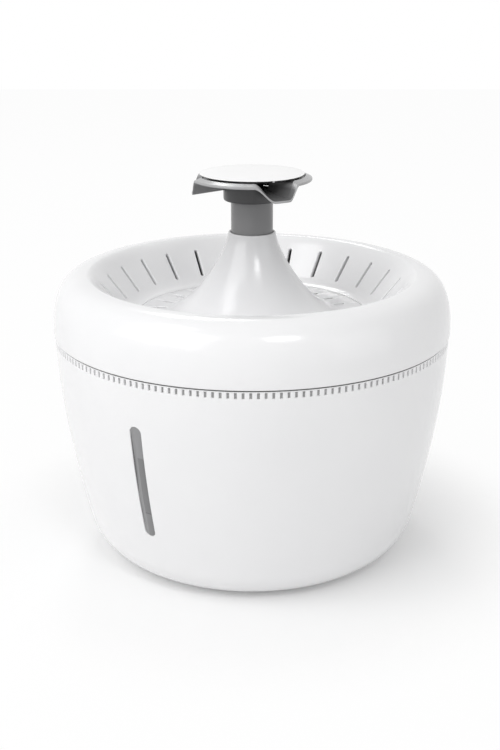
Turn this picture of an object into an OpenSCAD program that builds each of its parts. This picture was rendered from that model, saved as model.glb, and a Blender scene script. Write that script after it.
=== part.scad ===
// Pet water fountain: a round tank, a drinking tray with a slotted funnel wall,
// a trumpet cone that carries a leaf spout, a ring filter and a submerged pump.
// Millimetres, +Z up, origin on the table under the middle of the tank, front towards -Y.

/* [Overall] */
// Largest diameter, over the drinking tray
body_d = 200; // [180:1:230]
// Height of the seam between tank and tray
seam_z = 115.2; // [104:0.2:130]
// Visible gap of the seam
seam_gap = 0.7; // [0.3:0.1:1]

/* [Tank] */
// How far the tray overhangs the tank at the seam
tray_overhang = 0.6; // [0.3:0.1:1.5]
// How much the tank narrows from the seam to its foot, on the radius
tank_taper = 14.4; // [8:0.2:20]
// Radius of the rounded bottom edge
foot_round = 21; // [14:0.5:26]
// Lean of the wall just above the rounded edge, in degrees
foot_lean = 14.5; // [11:0.5:18]
// Wall of the tank
tank_wall = 2.6; // [2:0.1:3.4]
// Width of the land that carries the tray
land_w = 1.4; // [1.2:0.1:2]
// Number of grip notches under the seam
notch_count = 188; // [90:2:200]
// Bearing of the first notch
notch_bearing = 269.7; // [268:0.1:272]
// Width of one notch
notch_w = 1.2; // [0.8:0.1:1.8]
// Height of one notch
notch_h = 3; // [2:0.1:5]
// Depth of one notch
notch_depth = 1.1; // [0.6:0.1:1.2]
// Height of the plain rim above the notches
notch_rim = 0.4; // [0.3:0.05:1.2]

/* [Feet] */
// Radius of a foot pad
pad_r = 8; // [6:0.5:10]
// How far a pad stands below the tank
pad_drop = 1; // [0.6:0.1:2]
// How deep a pad sits in the tank floor
pad_sink = 1.2; // [0.8:0.1:1.4]
// Distance of the pads from the middle
pad_circle_r = 54; // [46:1:56]
// Number of pads
pad_count = 4; // [3:1:6]

/* [Water window] */
// Bearing of the window, anticlockwise from the right side
window_bearing = 237.5; // [200:0.1:250]
// Height of the middle of the window
window_z = 63; // [58:0.5:68]
// Length of the window
window_len = 58.8; // [40:0.2:62]
// Width of the window
window_w = 6.1; // [4:0.1:9]
// How deep the lens lies behind the tank face
window_recess = 0.3; // [0.2:0.1:1.4]
// Width of the glued flange around the lens
window_flange = 2.4; // [1.6:0.2:4]
// Thickness of the gasket behind the wall
gasket_t = 0.6; // [0.4:0.1:1]
// Thickness of the lens flange
lens_flange_t = 1.4; // [1:0.1:2]

/* [Drinking tray] */
// Height of the crest above the seam
crest_rise = 29.2; // [24:0.2:32]
// Radius of the crest
crest_r = 82.6; // [80:0.2:85]
// Squareness of the outer shoulder, 2 is an ellipse
shoulder_power = 2.57; // [2:0.05:3]
// Wall of the tray
tray_wall = 2.2; // [1.8:0.1:2.6]
// Height of the floor of the drinking bowl above the seam
bowl_floor_rise = 7; // [5:0.2:8]
// Radius where the funnel wall meets the floor
bowl_floor_r = 58.5; // [57.5:0.1:60]
// Radius at the top of the wall slots
slot_top_r = 75.6; // [74:0.2:77]
// Height of the top of the wall slots above the seam
slot_top_rise = 23.1; // [22:0.1:24]
// Radius at the bottom of the wall slots
slot_low_r = 65.4; // [64:0.2:67]
// Height of the bottom of the wall slots above the seam
slot_low_rise = 10.7; // [9:0.1:11]
// Number of slots around the bowl
slot_count = 26; // [16:1:30]
// Bearing of the first slot
slot_bearing = 87.1; // [80:0.1:95]
// Width of a slot
slot_w = 1.7; // [1:0.1:2.5]
// Depth of the skirt that centres the tray in the tank
skirt_h = 6; // [4:0.5:8]
// Wall of that skirt
skirt_wall = 2; // [1.6:0.1:2.4]

/* [Fountain cone] */
// Width of the ledge that carries the cone insert
cone_ledge_w = 3.7; // [3:0.1:4.5]
// Gap around the edge of the cone insert
cone_edge_gap = 0.4; // [0.3:0.05:0.8]
// Wall of the cone insert
cone_wall = 2; // [1.6:0.1:2.4]
// Outer radius of the cone at its mouth
cone_top_r = 11.75; // [11.5:0.05:12.5]
// Height of the cone mouth above the seam
cone_top_rise = 48.7; // [42:0.1:54]
// Radius where the cone has run out into the floor
cone_foot_r = 46; // [42:0.5:46]
// Inner end of the floor slots
floor_slot_r0 = 44.5; // [44:0.1:46]
// Outer end of the floor slots
floor_slot_r1 = 50.5; // [48.5:0.1:51]
// Depth of the socket that holds the stem, from the mouth
socket_depth = 33; // [26:0.5:36]
// Wall of the socket
socket_wall = 1.6; // [1.2:0.1:2]

/* [Spout] */
// Radius of the stem
stem_r = 10.4; // [10:0.05:10.45]
// Height of the visible stem
stem_show = 15.8; // [12:0.2:20]
// Radius of the neck under the leaf
neck_r = 14.1; // [13.5:0.1:15]
// Height of the neck
neck_h = 10; // [9:0.1:11]
// Rounding of the lower edge of the neck
neck_round = 1.2; // [0.6:0.1:1.6]
// Radius of the spigot that the neck turns on
spigot_r = 8; // [7.5:0.1:8.5]
// Height of the spigot
spigot_h = 3.9; // [3.4:0.1:4.2]
// Radius of the leaf
leaf_r = 29.6; // [27:0.2:33]
// Thickness of the leaf
leaf_t = 1.1; // [0.9:0.1:1.6]
// Number of chutes in the leaf
chute_count = 3; // [3:1:3]
// Bearing of the first chute
chute_bearing = 299; // [290:1:310]
// From the middle of a chute to its left edge, in degrees
chute_left = 27; // [22:0.5:30]
// From the middle of a chute to its right edge, in degrees
chute_right = 21; // [18:0.5:24]
// Width of the slope on the left of a chute, in degrees
slope_left = 20.5; // [14:0.5:24]
// Width of the slope on the right of a chute, in degrees
slope_right = 12; // [10:0.5:18]
// Drop of a chute where it leaves the neck
chute_drop_in = 5; // [4:0.1:5.2]
// Drop of a chute at the rim of the leaf
chute_drop_out = 7; // [6:0.1:9]
// Height of the lip of the leaf around the cap
lip_h = 1.3; // [0.8:0.05:1.6]
// Radius of the cap
cap_r = 25.8; // [22:0.2:27]
// Thickness of the cap
cap_t = 1.3; // [1:0.1:2]
// Water gap between leaf and cap
cap_gap = 0.9; // [0.7:0.1:1.5]
// Depth of the small tab on the edge of the cap
cap_tab = 0.7; // [0.6:0.1:1.1]
// Bearing of the tab
tab_bearing = 293.5; // [291:0.5:305]

/* [Filter] */
// Height of the filter basket
basket_h = 31; // [26:0.5:34]
// Wall of the basket
basket_wall = 1.6; // [1.2:0.1:2]
// Depth of the bayonet skirt under the cone insert
bayonet_h = 14; // [12:0.5:16]
// Wall of the bayonet skirt
bayonet_wall = 2; // [1.6:0.1:2]
// Number of bayonet lugs
lug_count = 3; // [2:1:4]
// Width of a lug, in degrees
lug_angle = 10; // [8:1:12]
// Turn that frees the basket, in degrees
twist_angle = 20; // [16:1:24]
// Height of a lug
lug_h = 3; // [2:0.1:3.6]
// Thickness of each cotton pad
cotton_t = 3; // [2:0.5:4]
// Thickness of the carbon bed
carbon_t = 10.8; // [8:0.2:12]
// Wall of the cartridge frame
frame_wall = 1.2; // [1:0.1:1.6]

/* [Pump] */
// Width and height of the pump case
pump_w = 34; // [32:0.5:38]
// Length of the motor case
motor_len = 38; // [36:0.5:42]
// Height of the suction cups
cup_h = 5; // [4:0.2:6]
// Radius of the pump chamber
chamber_r = 13; // [12:0.2:13.4]
// Length of the pump chamber
chamber_len = 14.5; // [14:0.1:16]
// Outer radius of the outlet spigot
outlet_r = 5; // [4.6:0.1:5.4]
// Radius of the water channel in the outlet
outlet_bore_r = 3.5; // [3:0.1:3.8]
// Wall of the riser tube
riser_wall = 1.45; // [1.2:0.05:1.5]
// Radius of the rotor magnet
magnet_r = 7.9; // [7:0.1:8]
// Length of the rotor magnet
magnet_len = 20; // [18:0.5:21]
// Radius of the ceramic shaft
shaft_r = 1.5; // [1.2:0.05:1.6]
// Radius of the impeller
impeller_r = 11.8; // [10.5:0.1:11.9]
// Number of impeller blades
blade_count = 6; // [4:1:8]
// Depth of the strainer in front of the pump
strainer_len = 14; // [12:0.5:18]
// Travel of the flow gate
gate_travel = 8; // [5:0.5:9]

/* [Power inlet] */
// Height of the inlet in the rear wall
inlet_z = 98; // [92:0.5:99]
// Radius of the inlet barrel
barrel_r = 5.5; // [5:0.1:5.6]
// Radius of the inlet flange
flange_r = 7.5; // [7:0.1:8]
// Bore of the socket: takes a plug of 5.5 mm
socket_bore_r = 2.85; // [2.8:0.05:2.9]
// Radius of the centre pin, for a plug of 2.1 mm
inlet_pin_r = 1.05; // [1:0.05:1.05]
// Diameter of the internal lead
lead_d = 4; // [3.6:0.1:4]

/* [Fits] */
// Gap between parts that lift apart
lift_gap = 0.3; // [0.3:0.05:0.4]
// Gap of a running or sliding fit
run_gap = 0.05; // [0.03:0.01:0.08]

/* [Hidden] */
$fn = 96;
eps = 0.01;

white = [0.93, 0.93, 0.93];
shade = [0.42, 0.42, 0.43];
dark = [0.3, 0.3, 0.31];
smoke = [0.5, 0.5, 0.52, 0.6];
black = [0.12, 0.12, 0.13];

// Tank
body_r = body_d / 2;
tank_top_r = body_r - tray_overhang;
base_z = pad_drop;
floor_z = base_z + tank_wall;
edge_end_r = tank_top_r - tank_taper;
edge_mid_r = edge_end_r - foot_round * cos(foot_lean);
edge_end_z = base_z + foot_round * (1 - sin(foot_lean));
side_power = tan(foot_lean) * (seam_z - edge_end_z) / tank_taper;
edge_steps = 8;
side_steps = 14;
rim_in_r = tank_top_r - tank_wall;
notch_floor_r = tank_top_r - notch_depth;
notch_z = seam_z - notch_rim - notch_h;

// Radius of the tank's outer face at height z
function side_r(z) =
    tank_top_r - tank_taper * pow(max(0, (seam_z - z) / (seam_z - edge_end_z)), side_power);

// Outer face of the tank, from the flat base to the rim
tank_face = concat(
    [for (i = [0 : edge_steps]) let (a = -90 + i * (90 - foot_lean) / edge_steps)
        [edge_mid_r + foot_round * cos(a), base_z + foot_round * (1 + sin(a))]],
    [for (i = [1 : side_steps]) let (z = edge_end_z + i * (seam_z - edge_end_z) / side_steps)
        [side_r(z), z]]
);

// Curve helpers
function unit(v) = v / norm(v);
function heading(p, i) = unit(p[min(i + 1, len(p) - 1)] - p[max(i - 1, 0)]);
function left_of(p, d) = [for (i = [0 : len(p) - 1]) p[i] + d * [-heading(p, i)[1], heading(p, i)[0]]];
function flip(p) = [for (i = [len(p) - 1 : -1 : 0]) p[i]];
function bow2(a, b, c, t) = (1 - t) * (1 - t) * a + 2 * t * (1 - t) * b + t * t * c;
function bow3(a, b, c, d, t) =
    pow(1 - t, 3) * a + 3 * t * pow(1 - t, 2) * b + 3 * t * t * (1 - t) * c + pow(t, 3) * d;
function ease(t) = let (s = max(0, min(1, t))) s * s * (3 - 2 * s);
function polar(r, a) = [r * cos(a), r * sin(a)];

// Tray
land_z = seam_z + seam_gap;
crest_z = seam_z + crest_rise;
bowl_floor_z = seam_z + bowl_floor_rise;
slot_top = [slot_top_r, seam_z + slot_top_rise];
slot_low = [slot_low_r, seam_z + slot_low_rise];
wall_slope = (slot_top[1] - slot_low[1]) / (slot_top[0] - slot_low[0]);
roll_r = slot_top[0] + (crest_z - slot_top[1]) / wall_slope;
foot_r = slot_low[0] - (slot_low[1] - bowl_floor_z) / wall_slope;
shoulder_steps = 12;
roll_steps = 5;
roll_end = slot_top + [1.6, 1.6 * wall_slope];
tray_face = concat(
    [for (i = [0 : shoulder_steps]) let (a = 90 * i / shoulder_steps)
        [crest_r + (body_r - crest_r) * pow(cos(a), 2 / shoulder_power),
         land_z + (crest_z - land_z) * pow(sin(a), 2 / shoulder_power)]],
    [for (i = [1 : roll_steps]) bow2([crest_r, crest_z], [roll_r, crest_z], roll_end, i / roll_steps)],
    [for (i = [0 : roll_steps])
        bow2(slot_low, [foot_r, bowl_floor_z], [bowl_floor_r, bowl_floor_z], i / roll_steps)]
);
tray_back = left_of(tray_face, tray_wall);
ledge_z = bowl_floor_z - cone_wall;
ledge_r = bowl_floor_r - cone_ledge_w;
skirt_r = rim_in_r - lift_gap;

// Cone insert
insert_r = bowl_floor_r - cone_edge_gap;
cone_top_z = seam_z + cone_top_rise;
stem_hole_r = stem_r + lift_gap;
socket_end_z = cone_top_z - socket_depth;
cone_steps = 18;
cone_face = [for (i = [0 : cone_steps])
    bow3([cone_top_r, cone_top_z], [cone_top_r + 1.45, cone_top_z - 12.9],
         [33, bowl_floor_z + 0.6], [cone_foot_r, bowl_floor_z], i / cone_steps)];
cone_back = left_of(cone_face, -cone_wall);
bayonet_out_r = ledge_r - 0.6;
bayonet_in_r = bayonet_out_r - bayonet_wall;
bayonet_low_z = ledge_z - bayonet_h;

// Filter
basket_out_r = bayonet_in_r - lift_gap;
basket_in_r = basket_out_r - basket_wall;
basket_top_z = ledge_z - 3.2;
basket_low_z = basket_top_z - basket_h;
riser_in_r = outlet_r + run_gap;
riser_r = riser_in_r + riser_wall;
basket_tube_in_r = riser_r + 2.5;
basket_tube_r = basket_tube_in_r + basket_wall;
lug_z = bayonet_low_z + 3.6;
lug_room = 0.4;
frame_z = basket_low_z + basket_wall;
frame_out_r = basket_in_r - lift_gap;
frame_in_r = basket_tube_r + lift_gap;
media_out_r = frame_out_r - frame_wall;
media_in_r = frame_in_r + frame_wall;
lower_cotton_z = frame_z + frame_wall;
carbon_z = lower_cotton_z + cotton_t;
upper_cotton_z = carbon_z + carbon_t;
lid_z = upper_cotton_z + cotton_t;
lid_t = frame_wall;

// Spout
stem_top_z = cone_top_z + stem_show;
leaf_low_z = stem_top_z + neck_h;
leaf_z = leaf_low_z + leaf_t;
well_z = stem_top_z + spigot_h;
well_r = neck_r - 1.6;
leaf_in_r = well_r - 1;
cap_low_z = leaf_z + cap_gap;
lip_in_r = cap_r + lift_gap;
lip_r = lip_in_r + 0.15;
riser_top_z = socket_end_z + 8;
stem_bore_r = riser_r + lift_gap / 3;
seal_z = socket_end_z + 3.6;
seal_thick = 2;
seal_groove_r = stem_bore_r + 1.5;
chute_step = 360 / chute_count;
leaf_turns = 120;
leaf_step = 360 / leaf_turns;

// Pump
axis_z = floor_z + cup_h + pump_w / 2;
pump_half = pump_w / 2;
chamber_y0 = -chamber_len / 2;
case_y0 = chamber_len / 2;
case_y1 = case_y0 + motor_len;
case_wall = 2;
case_floor = 3;
well_bore_r = magnet_r + 0.7;
well_wall = 1.3;
well_y1 = case_y0 + magnet_len + 4;
volute_wall = 2;
volute_r = chamber_r + volute_wall;
front_wall = 2.6;
intake_r = 8;
bush_r = 3;
hub_r = 4.2;
magnet_y0 = case_y0 + 1.6;
bush_len = 1.6;
strainer_wall = 1.6;
strainer_y1 = chamber_y0 - front_wall + 3;
strainer_y0 = strainer_y1 - strainer_len;
pole_in = well_bore_r + well_wall + 0.2;
pole_t = 3.4;
pole_half_h = 7;
yoke_y = well_y1 + well_wall + 3.2;
yoke_len = 4;
coil_wrap = 2.4;
coil_half_w = 7;
cup_x = 11;
cup_inset = 7;
peg_r = 2;
peg_h = 2.4;
gate_w = 12;
gate_h = 9;
gate_t = 1.4;
riser_z = axis_z + pump_half;
outlet_top_z = riser_z + 9;

// Power inlet: a flat spot outside and a flat boss inside the rear wall
spot_y = side_r(inlet_z) - 0.8;
boss_y = side_r(inlet_z) - tank_wall - 2.4;
boss_r = flange_r + 1.6;
seal_t = 0.5;
inlet_face_y = spot_y + seal_t + 1.3;
barrel_end_y = boss_y - 9;
nut_t = 3;

// Route of the lead in the plane x = 0, as distances back and up, from the pump to the inlet
lead_exit_z = axis_z + 9;
rise_y = barrel_end_y - 14.7;
lead_run = rise_y - case_y1;
lead_route = [
    [case_y1, lead_exit_z], [case_y1 + 4, lead_exit_z],
    [case_y1 + 0.43 * lead_run, lead_exit_z + 1.4], [case_y1 + 0.68 * lead_run, lead_exit_z + 4.9],
    [case_y1 + 0.86 * lead_run, lead_exit_z + 10.4], [case_y1 + 0.96 * lead_run, lead_exit_z + 17.4],
    [rise_y, lead_exit_z + 25.4], [rise_y, inlet_z - 30], [rise_y - 0.5, inlet_z - 22],
    [rise_y - 0.5, inlet_z - 15], [rise_y + 0.5, inlet_z - 9.5], [rise_y + 3.5, inlet_z - 4.5],
    [rise_y + 8.5, inlet_z - 1], [barrel_end_y - 1, inlet_z], [barrel_end_y, inlet_z]
];
lead_sides = 8;

// ---- shared shapes ----

// Long hole with round ends, its length along y
module long_hole(width, length) {
    square([width, length - width], center = true);
    for (s = [-1, 1])
        translate([0, s * (length - width) / 2])
            circle(d = width, $fn = 32);
}

// Rectangle with round corners, centred
module soft_square(w, h, r) {
    square([w - 2 * r, h], center = true);
    square([w, h - 2 * r], center = true);
    for (x = [-1, 1], y = [-1, 1])
        translate([x * (w / 2 - r), y * (h / 2 - r)])
            circle(r = r, $fn = 48);
}

module tube(r_out, r_in, h) {
    difference() {
        cylinder(r = r_out, h = h);
        translate([0, 0, -1])
            cylinder(r = r_in, h = h + 2);
    }
}

// Puts a shape drawn on the XY plane onto the pump axis, growing backwards from y
module on_axis(y) {
    translate([0, y, axis_z])
        rotate([-90, 0, 0])
            children();
}

// Skin of the tank wall, from d0 to d1 behind the outer face
module wall_skin(d0, d1) {
    rotate_extrude()
        polygon(concat(left_of(tank_face, d0), flip(left_of(tank_face, d1))));
}

// Prism that cuts the window through the wall
module window_prism(grow) {
    rotate([0, 0, window_bearing])
        translate([tank_top_r - 30, 0, window_z])
            rotate([90, 0, 90])
                linear_extrude(40)
                    long_hole(window_w + 2 * grow, window_len + 2 * grow);
}

module around_pads() {
    for (i = [0 : pad_count - 1])
        rotate([0, 0, 45 + i * 360 / pad_count])
            translate([pad_circle_r, 0, 0])
                children();
}

// ---- tank ----

// Ring of grip teeth, the gaps between them are the notches
module grip_ring() {
    pitch = 360 / notch_count;
    half = asin(notch_w / 2 / tank_top_r);
    root_r = notch_floor_r - 0.3;
    tooth_r = side_r(notch_z) - 0.05;
    translate([0, 0, notch_z - 0.1])
        linear_extrude(notch_h + 0.2)
            difference() {
                polygon([for (i = [0 : notch_count - 1]) let (a = notch_bearing + i * pitch)
                    each [polar(root_r, a - half), polar(root_r, a + half),
                          polar(tooth_r, a + half), polar(tooth_r, a + pitch - half)]]);
                circle(r = root_r - 0.6);
            }
}

module tank() {
    inner = left_of(tank_face, tank_wall);
    color(white)
        difference() {
            union() {
                difference() {
                    rotate_extrude()
                        polygon(concat([[0, base_z]], tank_face,
                            [[tank_top_r - (tank_wall - land_w), seam_z],
                             [tank_top_r - (tank_wall - land_w), land_z], [rim_in_r, land_z]],
                            flip(inner), [[0, floor_z]]));
                    translate([0, 0, notch_z])
                        tube(body_r + 5, notch_floor_r, notch_h);
                }
                grip_ring();
                intersection() {
                    translate([0, boss_y, inlet_z])
                        rotate([-90, 0, 0])
                            cylinder(r = boss_r, h = 5);
                    cylinder(r = side_r(inlet_z) - tank_wall / 2, h = seam_z);
                }
            }
            window_prism(0);
            translate([0, 0, base_z - 1])
                around_pads()
                    cylinder(r = pad_r + run_gap, h = pad_sink + 1);
            translate([0, spot_y, inlet_z])
                rotate([-90, 0, 0])
                    cylinder(r = flange_r + lift_gap, h = 10);
            translate([0, boss_y - 1, inlet_z])
                rotate([-90, 0, 0])
                    cylinder(r = barrel_r + run_gap, h = 20);
        }
}

module window_lens() {
    color(smoke)
        union() {
            intersection() {
                wall_skin(window_recess, tank_wall + gasket_t + lens_flange_t / 2);
                window_prism(-run_gap);
            }
            intersection() {
                wall_skin(tank_wall + gasket_t, tank_wall + gasket_t + lens_flange_t);
                window_prism(window_flange);
            }
        }
}

module window_gasket() {
    color(black)
        difference() {
            intersection() {
                wall_skin(tank_wall, tank_wall + gasket_t);
                window_prism(window_flange);
            }
            window_prism(run_gap);
        }
}

module foot_pads() {
    color(black)
        around_pads()
            rotate_extrude()
                polygon([[0, 0], [pad_r - 0.5, 0], [pad_r, 0.5],
                         [pad_r, base_z + pad_sink], [0, base_z + pad_sink]]);
}

// ---- power inlet ----

module inlet_body() {
    color(black)
        difference() {
            union() {
                translate([0, barrel_end_y, inlet_z])
                    rotate([-90, 0, 0])
                        cylinder(r = barrel_r, h = inlet_face_y - barrel_end_y - 0.5);
                translate([0, spot_y + seal_t, inlet_z])
                    rotate([-90, 0, 0])
                        cylinder(r = flange_r, h = inlet_face_y - spot_y - seal_t);
            }
            translate([0, inlet_face_y - 10, inlet_z])
                rotate([-90, 0, 0])
                    cylinder(r = socket_bore_r, h = 11);
        }
}

module inlet_pin() {
    color("silver")
        translate([0, inlet_face_y - 10, inlet_z])
            rotate([-90, 0, 0])
                cylinder(r = inlet_pin_r, h = 9);
}

module inlet_nut() {
    color("silver")
        translate([0, boss_y - nut_t, inlet_z])
            rotate([-90, 0, 0])
                difference() {
                    cylinder(r = flange_r + 0.6, h = nut_t, $fn = 6);
                    translate([0, 0, -1])
                        cylinder(r = barrel_r + run_gap, h = nut_t + 2);
                }
}

module inlet_seal() {
    color(dark)
        translate([0, spot_y, inlet_z])
            rotate([-90, 0, 0])
                tube(flange_r - 0.3, barrel_r + run_gap, seal_t);
}

// Lead from the potted end of the motor to the inlet: rings along the route
module pump_lead() {
    last = len(lead_route) - 1;
    rings = [for (i = [0 : last])
        let (p = lead_route[i],
             h = i == 0 || i == last ? [1, 0] : heading(lead_route, i),
             across = [-h[1], h[0]])
        for (k = [0 : lead_sides - 1])
            let (a = 360 * k / lead_sides, c = lead_d / 2 * cos(a), s = lead_d / 2 * sin(a))
            [c, p[0] + s * across[0], p[1] + s * across[1]]];
    n = lead_sides;
    color(black)
        polyhedron(rings, concat(
            [[for (k = [0 : n - 1]) k]],
            [for (i = [0 : last - 1], k = [0 : n - 1])
                let (a = i * n + k, b = i * n + (k + 1) % n)
                each [[a, a + n, b], [b, a + n, b + n]]],
            [[for (k = [n - 1 : -1 : 0]) last * n + k]]));
}

// ---- pump ----

module motor_case() {
    color(dark)
        difference() {
            on_axis(case_y0)
                linear_extrude(motor_len)
                    soft_square(pump_w, pump_w, 5);
            difference() {
                translate([0, case_y0 + case_wall, axis_z + (case_floor - case_wall) / 2])
                    rotate([-90, 0, 0])
                        linear_extrude(motor_len)
                            soft_square(pump_w - 2 * case_wall, pump_w - case_wall - case_floor, 3);
                on_axis(case_y0)
                    cylinder(r = well_bore_r + well_wall, h = well_y1 + well_wall - case_y0);
            }
            on_axis(case_y0 - 1)
                cylinder(r = well_bore_r, h = well_y1 - case_y0 + 1);
            cup_places()
                translate([0, 0, cup_h - 1])
                    cylinder(r = peg_r + run_gap, h = peg_h + 1);
        }
}

module stator_core() {
    leg_y0 = case_y0 + case_wall + 1;
    color("silver")
        union() {
            for (s = [-1, 1])
                translate([s * (pole_in + pole_t / 2), (leg_y0 + yoke_y + yoke_len) / 2, axis_z])
                    cube([pole_t, yoke_y + yoke_len - leg_y0, 2 * pole_half_h], center = true);
            translate([0, yoke_y + yoke_len / 2, axis_z])
                cube([2 * pole_in + eps, yoke_len, 2 * pole_half_h], center = true);
        }
}

module stator_coil() {
    color("peru")
        translate([0, yoke_y + yoke_len / 2, axis_z])
            difference() {
                cube([2 * coil_half_w, yoke_len + 2 * coil_wrap, 2 * (pole_half_h + coil_wrap)],
                     center = true);
                cube([2 * coil_half_w + 2, yoke_len, 2 * pole_half_h], center = true);
            }
}

// Resin that seals the stator in its case
module potting_resin() {
    color(black)
        difference() {
            translate([0, case_y0 + case_wall, axis_z + (case_floor - case_wall) / 2])
                rotate([-90, 0, 0])
                    linear_extrude(motor_len - case_wall)
                        soft_square(pump_w - 2 * case_wall, pump_w - case_wall - case_floor, 3);
            on_axis(case_y0)
                cylinder(r = well_bore_r + well_wall, h = well_y1 + well_wall - case_y0);
            stator_core();
            translate([0, yoke_y + yoke_len / 2, axis_z])
                cube([2 * coil_half_w, yoke_len + 2 * coil_wrap, 2 * (pole_half_h + coil_wrap)],
                     center = true);
        }
}

module cup_places() {
    for (x = [-cup_x, cup_x], y = [case_y0 + cup_inset, case_y1 - cup_inset])
        translate([x, y, floor_z])
            children();
}

module suction_cups() {
    color(dark)
        cup_places()
            rotate_extrude()
                polygon([[0, 1.4], [5.2, 0], [6.8, 0], [4.6, 2.2], [2.6, 3.2], [3.6, cup_h],
                         [peg_r, cup_h], [peg_r, cup_h + peg_h], [0, cup_h + peg_h]]);
}

module volute_cover() {
    spider_y = chamber_y0 - front_wall;
    color(shade)
        difference() {
            union() {
                on_axis(spider_y)
                    cylinder(r = volute_r, h = chamber_len + front_wall);
                on_axis(case_y0 - 2.4)
                    linear_extrude(2.4)
                        soft_square(pump_w, pump_w, 5);
                translate([0, 0, axis_z + chamber_r])
                    cylinder(r = outlet_r, h = outlet_top_z - axis_z - chamber_r);
            }
            on_axis(chamber_y0)
                cylinder(r = chamber_r, h = chamber_len + 1);
            translate([0, 0, axis_z + 1])
                cylinder(r = outlet_bore_r, h = outlet_top_z);
            difference() {
                on_axis(spider_y - 1)
                    cylinder(r = intake_r, h = front_wall + 2);
                on_axis(spider_y - 2)
                    cylinder(r = bush_r + 1.4, h = front_wall + 4);
                for (a = [90, 210, 330])
                    on_axis(spider_y - 2)
                        rotate([0, 0, a])
                            translate([0, -1, 0])
                                cube([intake_r + 1, 2, front_wall + 4]);
            }
            on_axis(spider_y - 1)
                cylinder(r = bush_r, h = front_wall + 2);
            on_axis(case_y0 - 1)
                difference() {
                    cylinder(r = chamber_r + 2.2, h = 2);
                    translate([0, 0, -1])
                        cylinder(r = chamber_r + 0.8, h = 4);
                }
        }
}

module volute_seal() {
    color(black)
        on_axis(case_y0 - 1)
            tube(chamber_r + 2.2 - run_gap, chamber_r + 0.8 + run_gap, 1);
}

module impeller_shaft() {
    color("ivory")
        on_axis(chamber_y0 - front_wall)
            cylinder(r = shaft_r, h = well_y1 - chamber_y0 + front_wall);
}

module shaft_bushes() {
    color(black)
        union() {
            on_axis(chamber_y0 - front_wall)
                tube(bush_r, shaft_r, front_wall);
            on_axis(well_y1 - bush_len)
                tube(well_bore_r, shaft_r, bush_len);
        }
}

module impeller() {
    blade_y0 = chamber_y0 + 1.6;
    blade_len = chamber_len - 5;
    hub_y0 = chamber_y0 + 0.6;
    color(white)
        difference() {
            union() {
                on_axis(hub_y0)
                    cylinder(r = hub_r, h = magnet_y0 - hub_y0);
                on_axis(magnet_y0 - eps)
                    cylinder(r = bush_r, h = magnet_len);
                on_axis(blade_y0)
                    for (i = [0 : blade_count - 1])
                        rotate([0, 0, i * 360 / blade_count])
                            translate([hub_r - 1, -0.6, 0])
                                cube([impeller_r - hub_r + 1, 1.2, blade_len]);
                on_axis(blade_y0 + blade_len - eps)
                    cylinder(r = 9, h = 1.2);
            }
            on_axis(hub_y0 - 1)
                cylinder(r = shaft_r + run_gap, h = 60);
        }
}

module rotor_magnet() {
    color(black)
        on_axis(magnet_y0)
            tube(magnet_r, bush_r, magnet_len);
}

module riser_tube() {
    color("gainsboro", 0.7)
        translate([0, 0, riser_z])
            tube(riser_r, riser_in_r, riser_top_z - riser_z);
}

// Front cage of the pump, with rails for the flow gate
module strainer() {
    color(dark)
        difference() {
            union() {
                on_axis(strainer_y0)
                    linear_extrude(strainer_y1 - strainer_y0)
                        soft_square(pump_w, pump_w, 5);
                for (s = [-1, 1])
                    translate([s * (gate_w / 2 + 1.2 + run_gap) - 1.2, strainer_y0 - 2.6,
                               axis_z - pump_half + 4])
                        difference() {
                            cube([2.4, 2.6 + eps, gate_h + gate_travel + 1]);
                            translate([s < 0 ? 1.2 : -1, 1, -1])
                                cube([2.2, 1.6, pump_w]);
                        }
            }
            on_axis(strainer_y0 + strainer_wall)
                linear_extrude(strainer_len)
                    soft_square(pump_w - 2 * strainer_wall, pump_w - 2 * strainer_wall, 3.4);
            for (x = [-4 : 1 : 4])
                translate([x * 3.2 - 0.8, strainer_y0 - 1, axis_z - pump_half + 6])
                    cube([1.6, strainer_wall + 2, pump_w - 12]);
        }
}

module prefilter_sponge() {
    sponge_y0 = strainer_y0 + strainer_wall + 0.2;
    color("dimgray")
        on_axis(sponge_y0)
            linear_extrude(chamber_y0 - front_wall - sponge_y0 - 0.3)
                soft_square(pump_w - 2 * strainer_wall - 0.8, pump_w - 2 * strainer_wall - 0.8, 3);
}

// Plate that slides up in front of the inlet slots
module flow_gate() {
    color(shade)
        translate([0, strainer_y0 - 1.5, axis_z - pump_half + 4.4])
            union() {
                translate([-gate_w / 2 - 1, 0, 0])
                    cube([gate_w + 2, gate_t, gate_h]);
                translate([-2.5, -2.2, gate_h / 2 - 1])
                    cube([5, 2.2 + eps, 2]);
            }
}

// ---- tray and cone ----

module around_slots() {
    for (i = [0 : slot_count - 1])
        rotate([0, 0, slot_bearing + i * 360 / slot_count])
            children();
}

module drinking_tray() {
    tilt = atan(wall_slope);
    mid = (slot_top + slot_low) / 2;
    color(white)
        difference() {
            union() {
                rotate_extrude()
                    polygon(concat(tray_face,
                        [[bowl_floor_r, ledge_z], [ledge_r, ledge_z],
                         [ledge_r, ledge_z - tray_wall], [bowl_floor_r + 3, ledge_z - tray_wall]],
                        flip([for (i = [1 : len(tray_back) - 2])
                            if (tray_back[i][1] > land_z + 0.5 && tray_back[i][1] > ledge_z - tray_wall
                                && tray_back[i][0] > bowl_floor_r + 3)
                                tray_back[i]]),
                        [[body_r - tray_wall, land_z]]));
                translate([0, 0, land_z - skirt_h])
                    tube(skirt_r, skirt_r - skirt_wall, skirt_h + 3);
                translate([0, 0, land_z])
                    tube(body_r - tray_wall / 2, skirt_r - skirt_wall, 2);
            }
            around_slots()
                translate([mid[0], 0, mid[1]])
                    rotate([0, -tilt, 0])
                        rotate([0, 0, 90])
                            linear_extrude(12, center = true)
                                long_hole(slot_w, norm(slot_top - slot_low));
        }
}

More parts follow.
